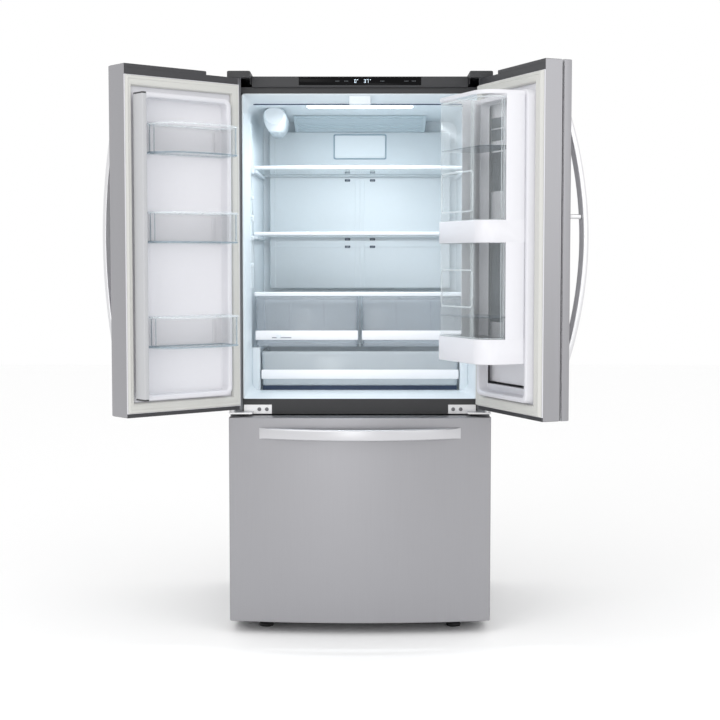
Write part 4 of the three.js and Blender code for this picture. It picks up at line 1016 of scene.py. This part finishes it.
# Two clear baskets, each with a shelf inside, lips, a finger grip's rim and stiffening posts.
basket_clear = clear("basket_clear", (0.74, 0.80, 0.83), 0.035, 0.42, 0.2)
set_shader(basket_clear, {"Specular IOR Level": 0.12})
basket_edge = clear("basket_edge", (0.16, 0.20, 0.24), 0.30, 0.9)
inset, inside = thin + 0.0003, thin + 0.0003 + bin_wall
face_y = carrier.y1 - inset
grip_profile = ((0.0, 0.0), (0.0, 0.002), (0.0015, 0.0028), (0.0035, 0.0028), (0.005, 0.002), (0.005, 0.0))
for label, shelf_up, grip_low, grip_high, lip_tops in (
        ("upper", 0.2675, 1.330, 1.452, lambda e: (e.z1 - 0.004, e.z0 + 0.0555)),
        ("lower", 0.1342, 1.048, 1.162, lambda e: (tray_top + 0.004,))):
    e = Extent(f"right_basket_{label}", right_swing)

    def basket_part(part, shells, material, **more):
        make(f"right_basket_{label}_{part}", shells, material, "right_door", "clear_plastic",
             swing=right_swing, **more)

    basket_part("bin", [([carrier_ring(drawn_in, z, e.y0) for drawn_in, z in (
        (inset + 0.004, e.z0), (inset + 0.001, e.z0 + 0.002), (inset, e.z0 + 0.006), (inset, e.z1 - 0.001),
        (inset + 0.0006, e.z1), (inside - 0.0006, e.z1), (inside, e.z1 - 0.001), (inside, e.z0 + 0.006),
        (inside + 0.003, e.z0 + bin_wall))], "capped")],
        basket_clear, soft_angle=45, replaces=(f"right_basket_{label}",))
    level = e.z0 + shelf_up
    basket_part("shelf", [([carrier_ring(inside, level - 0.0015, e.y0 + 0.004),
                            carrier_ring(inside, level + 0.0015, e.y0 + 0.004)], "capped")],
                basket_edge, edge=0.0005)
    lip_plan = carrier_plan(inset - 0.0002, side_y) + carrier_plan(inside + 0.003, side_y)[::-1]
    basket_part("lips", [([raised(lip_plan, z - 0.0035), raised(lip_plan, z + 0.0005)], "capped")
                         for z in lip_tops(e)], lip_clear, edge=0.0005)
    loop = [upright(rounded(carrier.x0 + 0.064 + across, carrier.x1 - 0.016 - across, grip_low + across,
                            grip_high - across, 0.014 - across, 5), face_y + out - 0.0002)
            for across, out in grip_profile]
    basket_part("grip_rim", [(loop, "joined")], lip_clear)
    post_low, post_high = e.z0 + 0.01, e.z1 - 0.01
    front_y = face_y - bin_wall
    posts = [block(x - 0.0012, x + 0.0012, front_y - 0.004, front_y + 0.0004, post_low, post_high, 0.0005)
             for x in (carrier.x0 + inset + 0.070, carrier.x0 + inset + 0.082)]
    side_x = carrier.x0 + inside
    posts += [block(side_x - 0.0004, side_x + 0.004, y - 0.0010, y + 0.0010, post_low, post_high, 0.0005)
              for y in (carrier.y1 - 0.066, carrier.y1 - 0.074)]
    basket_part("posts", posts, lip_clear)

# ---------------------------------------------------------------------------------------- small outer door
# A second curved stainless skin on a shallow grey tub, hinged on the right door's own hinge side.
# A small button behind its bow handle frees it, so that it opens without the right door.

outer_skin = Extent("outer_door_skin", right_swing)
outer_free, outer_slant = 0.078, 0.013


def outer_plan(inset):
    """Section of the outer door: its curved face, and a back that slants towards the hinge edge."""
    x0, x1 = outer_skin.x0 + inset, outer_skin.x1 - inset
    front = bow_plan(x0, x1, 0, inset)[1:-1]
    return [(x0, case_front - outer_free)] + front + [(x1, case_front - outer_free + outer_slant)]


make("outer_skin", [([
    raised(outer_plan(cap_over), outer_skin.z0), raised(outer_plan(0.0), outer_skin.z0 + cap_over),
    raised(outer_plan(0.0), outer_skin.z1 - cap_over), raised(outer_plan(cap_over), outer_skin.z1),
], "capped")], steel, "outer_door", "stainless", swing=right_swing, soft_angle=25,
     replaces=("outer_door_skin",))
panel_grey = finish("panel_grey", (0.80, 0.80, 0.83), 0.4, grain=200, vary=0.02, relief=0.00001)
dress(panel_grey, "outer_door_panel")

# Four dark panels in the tub, seen through the clear baskets.
tub_face = case_front - 0.030
dark_panel = finish("dark_panel", (0.07, 0.077, 0.088), 0.4, grain=200, vary=0.03, relief=0.0)
make("tub_panels", [
    block(middle + 0.285, middle + 0.360, tub_face - 0.0002, tub_face + 0.0012, low, high, 0.0006)
    for low, high in ((0.998, 1.243), (1.402, 1.522), (1.557, 1.592), (1.596, 1.628))
], dark_panel, "outer_door", "dark_plastic", edge=0.0004, swing=right_swing)
bow_handle("right_handle", "right_door_handle", right_swing, "outer_door")
press = Extent("outer_door_button", right_swing)
make("release_button", [([
    front_ring(press, 0, press.y0, 0.004), front_ring(press, 0, press.y1 - 0.0015, 0.004),
    front_ring(press, 0.001, press.y1, 0.003),
], "capped")], zinc, "outer_door_button", "zinc", swing=right_swing, soft_angle=50,
     replaces=("outer_door_button",))

# ---------------------------------------------------------------------------------------- freezer drawer
# The drawer's curved stainless front carries a bar handle and closes on a gasket. Behind it a deep
# white basket hangs between two slide bars, with a shallow tray that slides over the basket.

front_box = Extent("freezer_front")
lip = 0.002
drawer_outer = bow_plan(front_box.x0, front_box.x1, front_box.y1)
drawer_inner = bow_plan(front_box.x0 + lip, front_box.x1 - lip, front_box.y1, lip)
make("drawer_skin", [([
    raised(drawer_inner, front_box.z0), raised(drawer_outer, front_box.z0 + lip),
    raised(drawer_outer, front_box.z1 - lip), raised(drawer_inner, front_box.z1),
], "capped")], steel, "freezer_drawer", "stainless", soft_angle=25, replaces=("freezer_front",))
seal = Extent("freezer_gasket")
inner_panel("drawer_inner_panel", "freezer_inner_panel", None, "freezer_drawer",
            (seal.x0 + 0.0515, seal.x1 - 0.0515, seal.z0 + 0.034, seal.z1 - 0.032))
gasket("drawer_gasket", "freezer_gasket", None, "freezer_drawer", 0.030, 0.030, 0.030)

bar_box = Extent("freezer_handle")
bar_long, bar_x0 = bar_box.x1 - bar_box.x0, middle - (bar_box.x1 - bar_box.x0) / 2
bar_rings = []
for i in range(bow_steps + 1):
    x = along_bow(bar_x0, bar_long, i)
    out, hollow = crescent((x - bar_x0) / bar_long, bar_long, 0.055, 0.016, 0.042)
    face = bow_y(x) - 0.0003
    bar_rings.append(sideways(rounded(face - out, face - hollow + 0.00005, bar_box.z0, bar_box.z1,
                                      min(0.005, (out - hollow) * 0.45), 4), x))
bar_bright = finish("bar_bright", (0.57, 0.57, 0.59), 0.34, metal=0.8, grain=(8, 800, 800), vary=0.03,
                    relief=0.0)
make("drawer_handle", [(bar_rings, "capped")], bar_bright, "freezer_drawer", "stainless", soft_angle=50,
     replaces=("freezer_handle",))

basket_white = finish("basket_white", (0.78, 0.79, 0.81), 0.4, grain=100, vary=0.03, relief=0.00004)
deep_box = Extent("freezer_basket")
rail_wide, basket_wall = 0.010, 0.003
rail_inner = rail_wide + 0.0005
make("deep_basket", [tray(deep_box, rail_wide, 0, basket_wall, 0.02)], basket_white, "freezer_drawer",
     "door_white", soft_angle=50, replaces=("freezer_basket",))
make("drawer_slides", [
    block(x0, x1, deep_box.y0, deep_box.y1, deep_box.z1 - 0.036, deep_box.z1 - 0.006, 0.001)
    for x0, x1 in ((deep_box.x0, deep_box.x0 + rail_inner), (deep_box.x1 - rail_inner, deep_box.x1))
], zinc, "freezer_drawer", "zinc", edge=0.001)
make("upper_tray", [tray(Extent("freezer_tray"), 0, 0, basket_wall, 0.02, 0.004)], basket_white,
     "freezer_tray", "door_white", soft_angle=50, replaces=("freezer_tray",))

# ---------------------------------------------------------------------------------------- room
# A plain white floor and a soft, even studio light from above, in front and both sides, with the
# lamp strip's own cool light inside the fresh food space.

floor_half = 12
floor_mesh = bpy.data.meshes.new("floor")
floor_mesh.from_pydata([(x * floor_half, y * floor_half, 0) for x, y in ((-1, -1), (1, -1), (1, 1), (-1, 1))],
                       [], [(0, 1, 2, 3)])
floor = bpy.data.objects.new("floor", floor_mesh)
bpy.context.scene.collection.objects.link(floor)
floor_white = bpy.data.materials.new("floor_white")
floor_white.use_nodes = True
set_shader(floor_white, {"Base Color": (0.98, 0.98, 0.98, 1), "Roughness": 0.9, "Specular IOR Level": 0.1})
floor_mesh.materials.append(floor_white)

world = bpy.data.worlds.new("studio")
world.use_nodes = True
world.node_tree.nodes["Background"].inputs["Color"].default_value = (1.0, 1.0, 1.0, 1)
world.node_tree.nodes["Background"].inputs["Strength"].default_value = 1.0
bpy.context.scene.world = world


def area_light(name, place, aim, size, power, color=(1, 1, 1)):
    data = bpy.data.lights.new(name, "AREA")
    data.shape = "RECTANGLE"
    data.size, data.size_y = size
    data.energy = power
    data.color = color
    light = bpy.data.objects.new(name, data)
    light.location = place
    light.rotation_euler = (Vector(aim) - Vector(place)).to_track_quat("-Z", "Y").to_euler()
    bpy.context.scene.collection.objects.link(light)


aim = (middle, case_front, 0.9)
area_light("key", (middle - 2.2, case_front - 3.4, 3.2), aim, (2.4, 2.4), 42)
area_light("fill", (middle + 2.6, case_front - 3.0, 2.2), aim, (2.4, 2.4), 20)
area_light("tall_strip", (middle - 0.45, case_front - 5.3, 1.1), aim, (0.35, 2.4), 16)
area_light("ceiling_strip", (lamp.x, lamp.y - 0.005, lamp.z0 - 0.012), (lamp.x, lamp.y + 0.03, 0.9),
           (0.33, 0.02), 3.0, (0.88, 0.95, 1.0))

camera = bpy.data.objects.new("camera", bpy.data.cameras.new("camera"))
camera_back, camera_up, camera_dip = 4.64, 1.182, 3.84
camera.data.lens = 72.55
camera.data.sensor_width = 36
camera.location = (middle, case_front - camera_back, camera_up)
camera.rotation_euler = (math.radians(90 - camera_dip), 0, 0)
bpy.context.scene.collection.objects.link(camera)
bpy.context.scene.camera = camera
bpy.context.scene.view_settings.view_transform = "Standard"

bpy.context.view_layer.update()
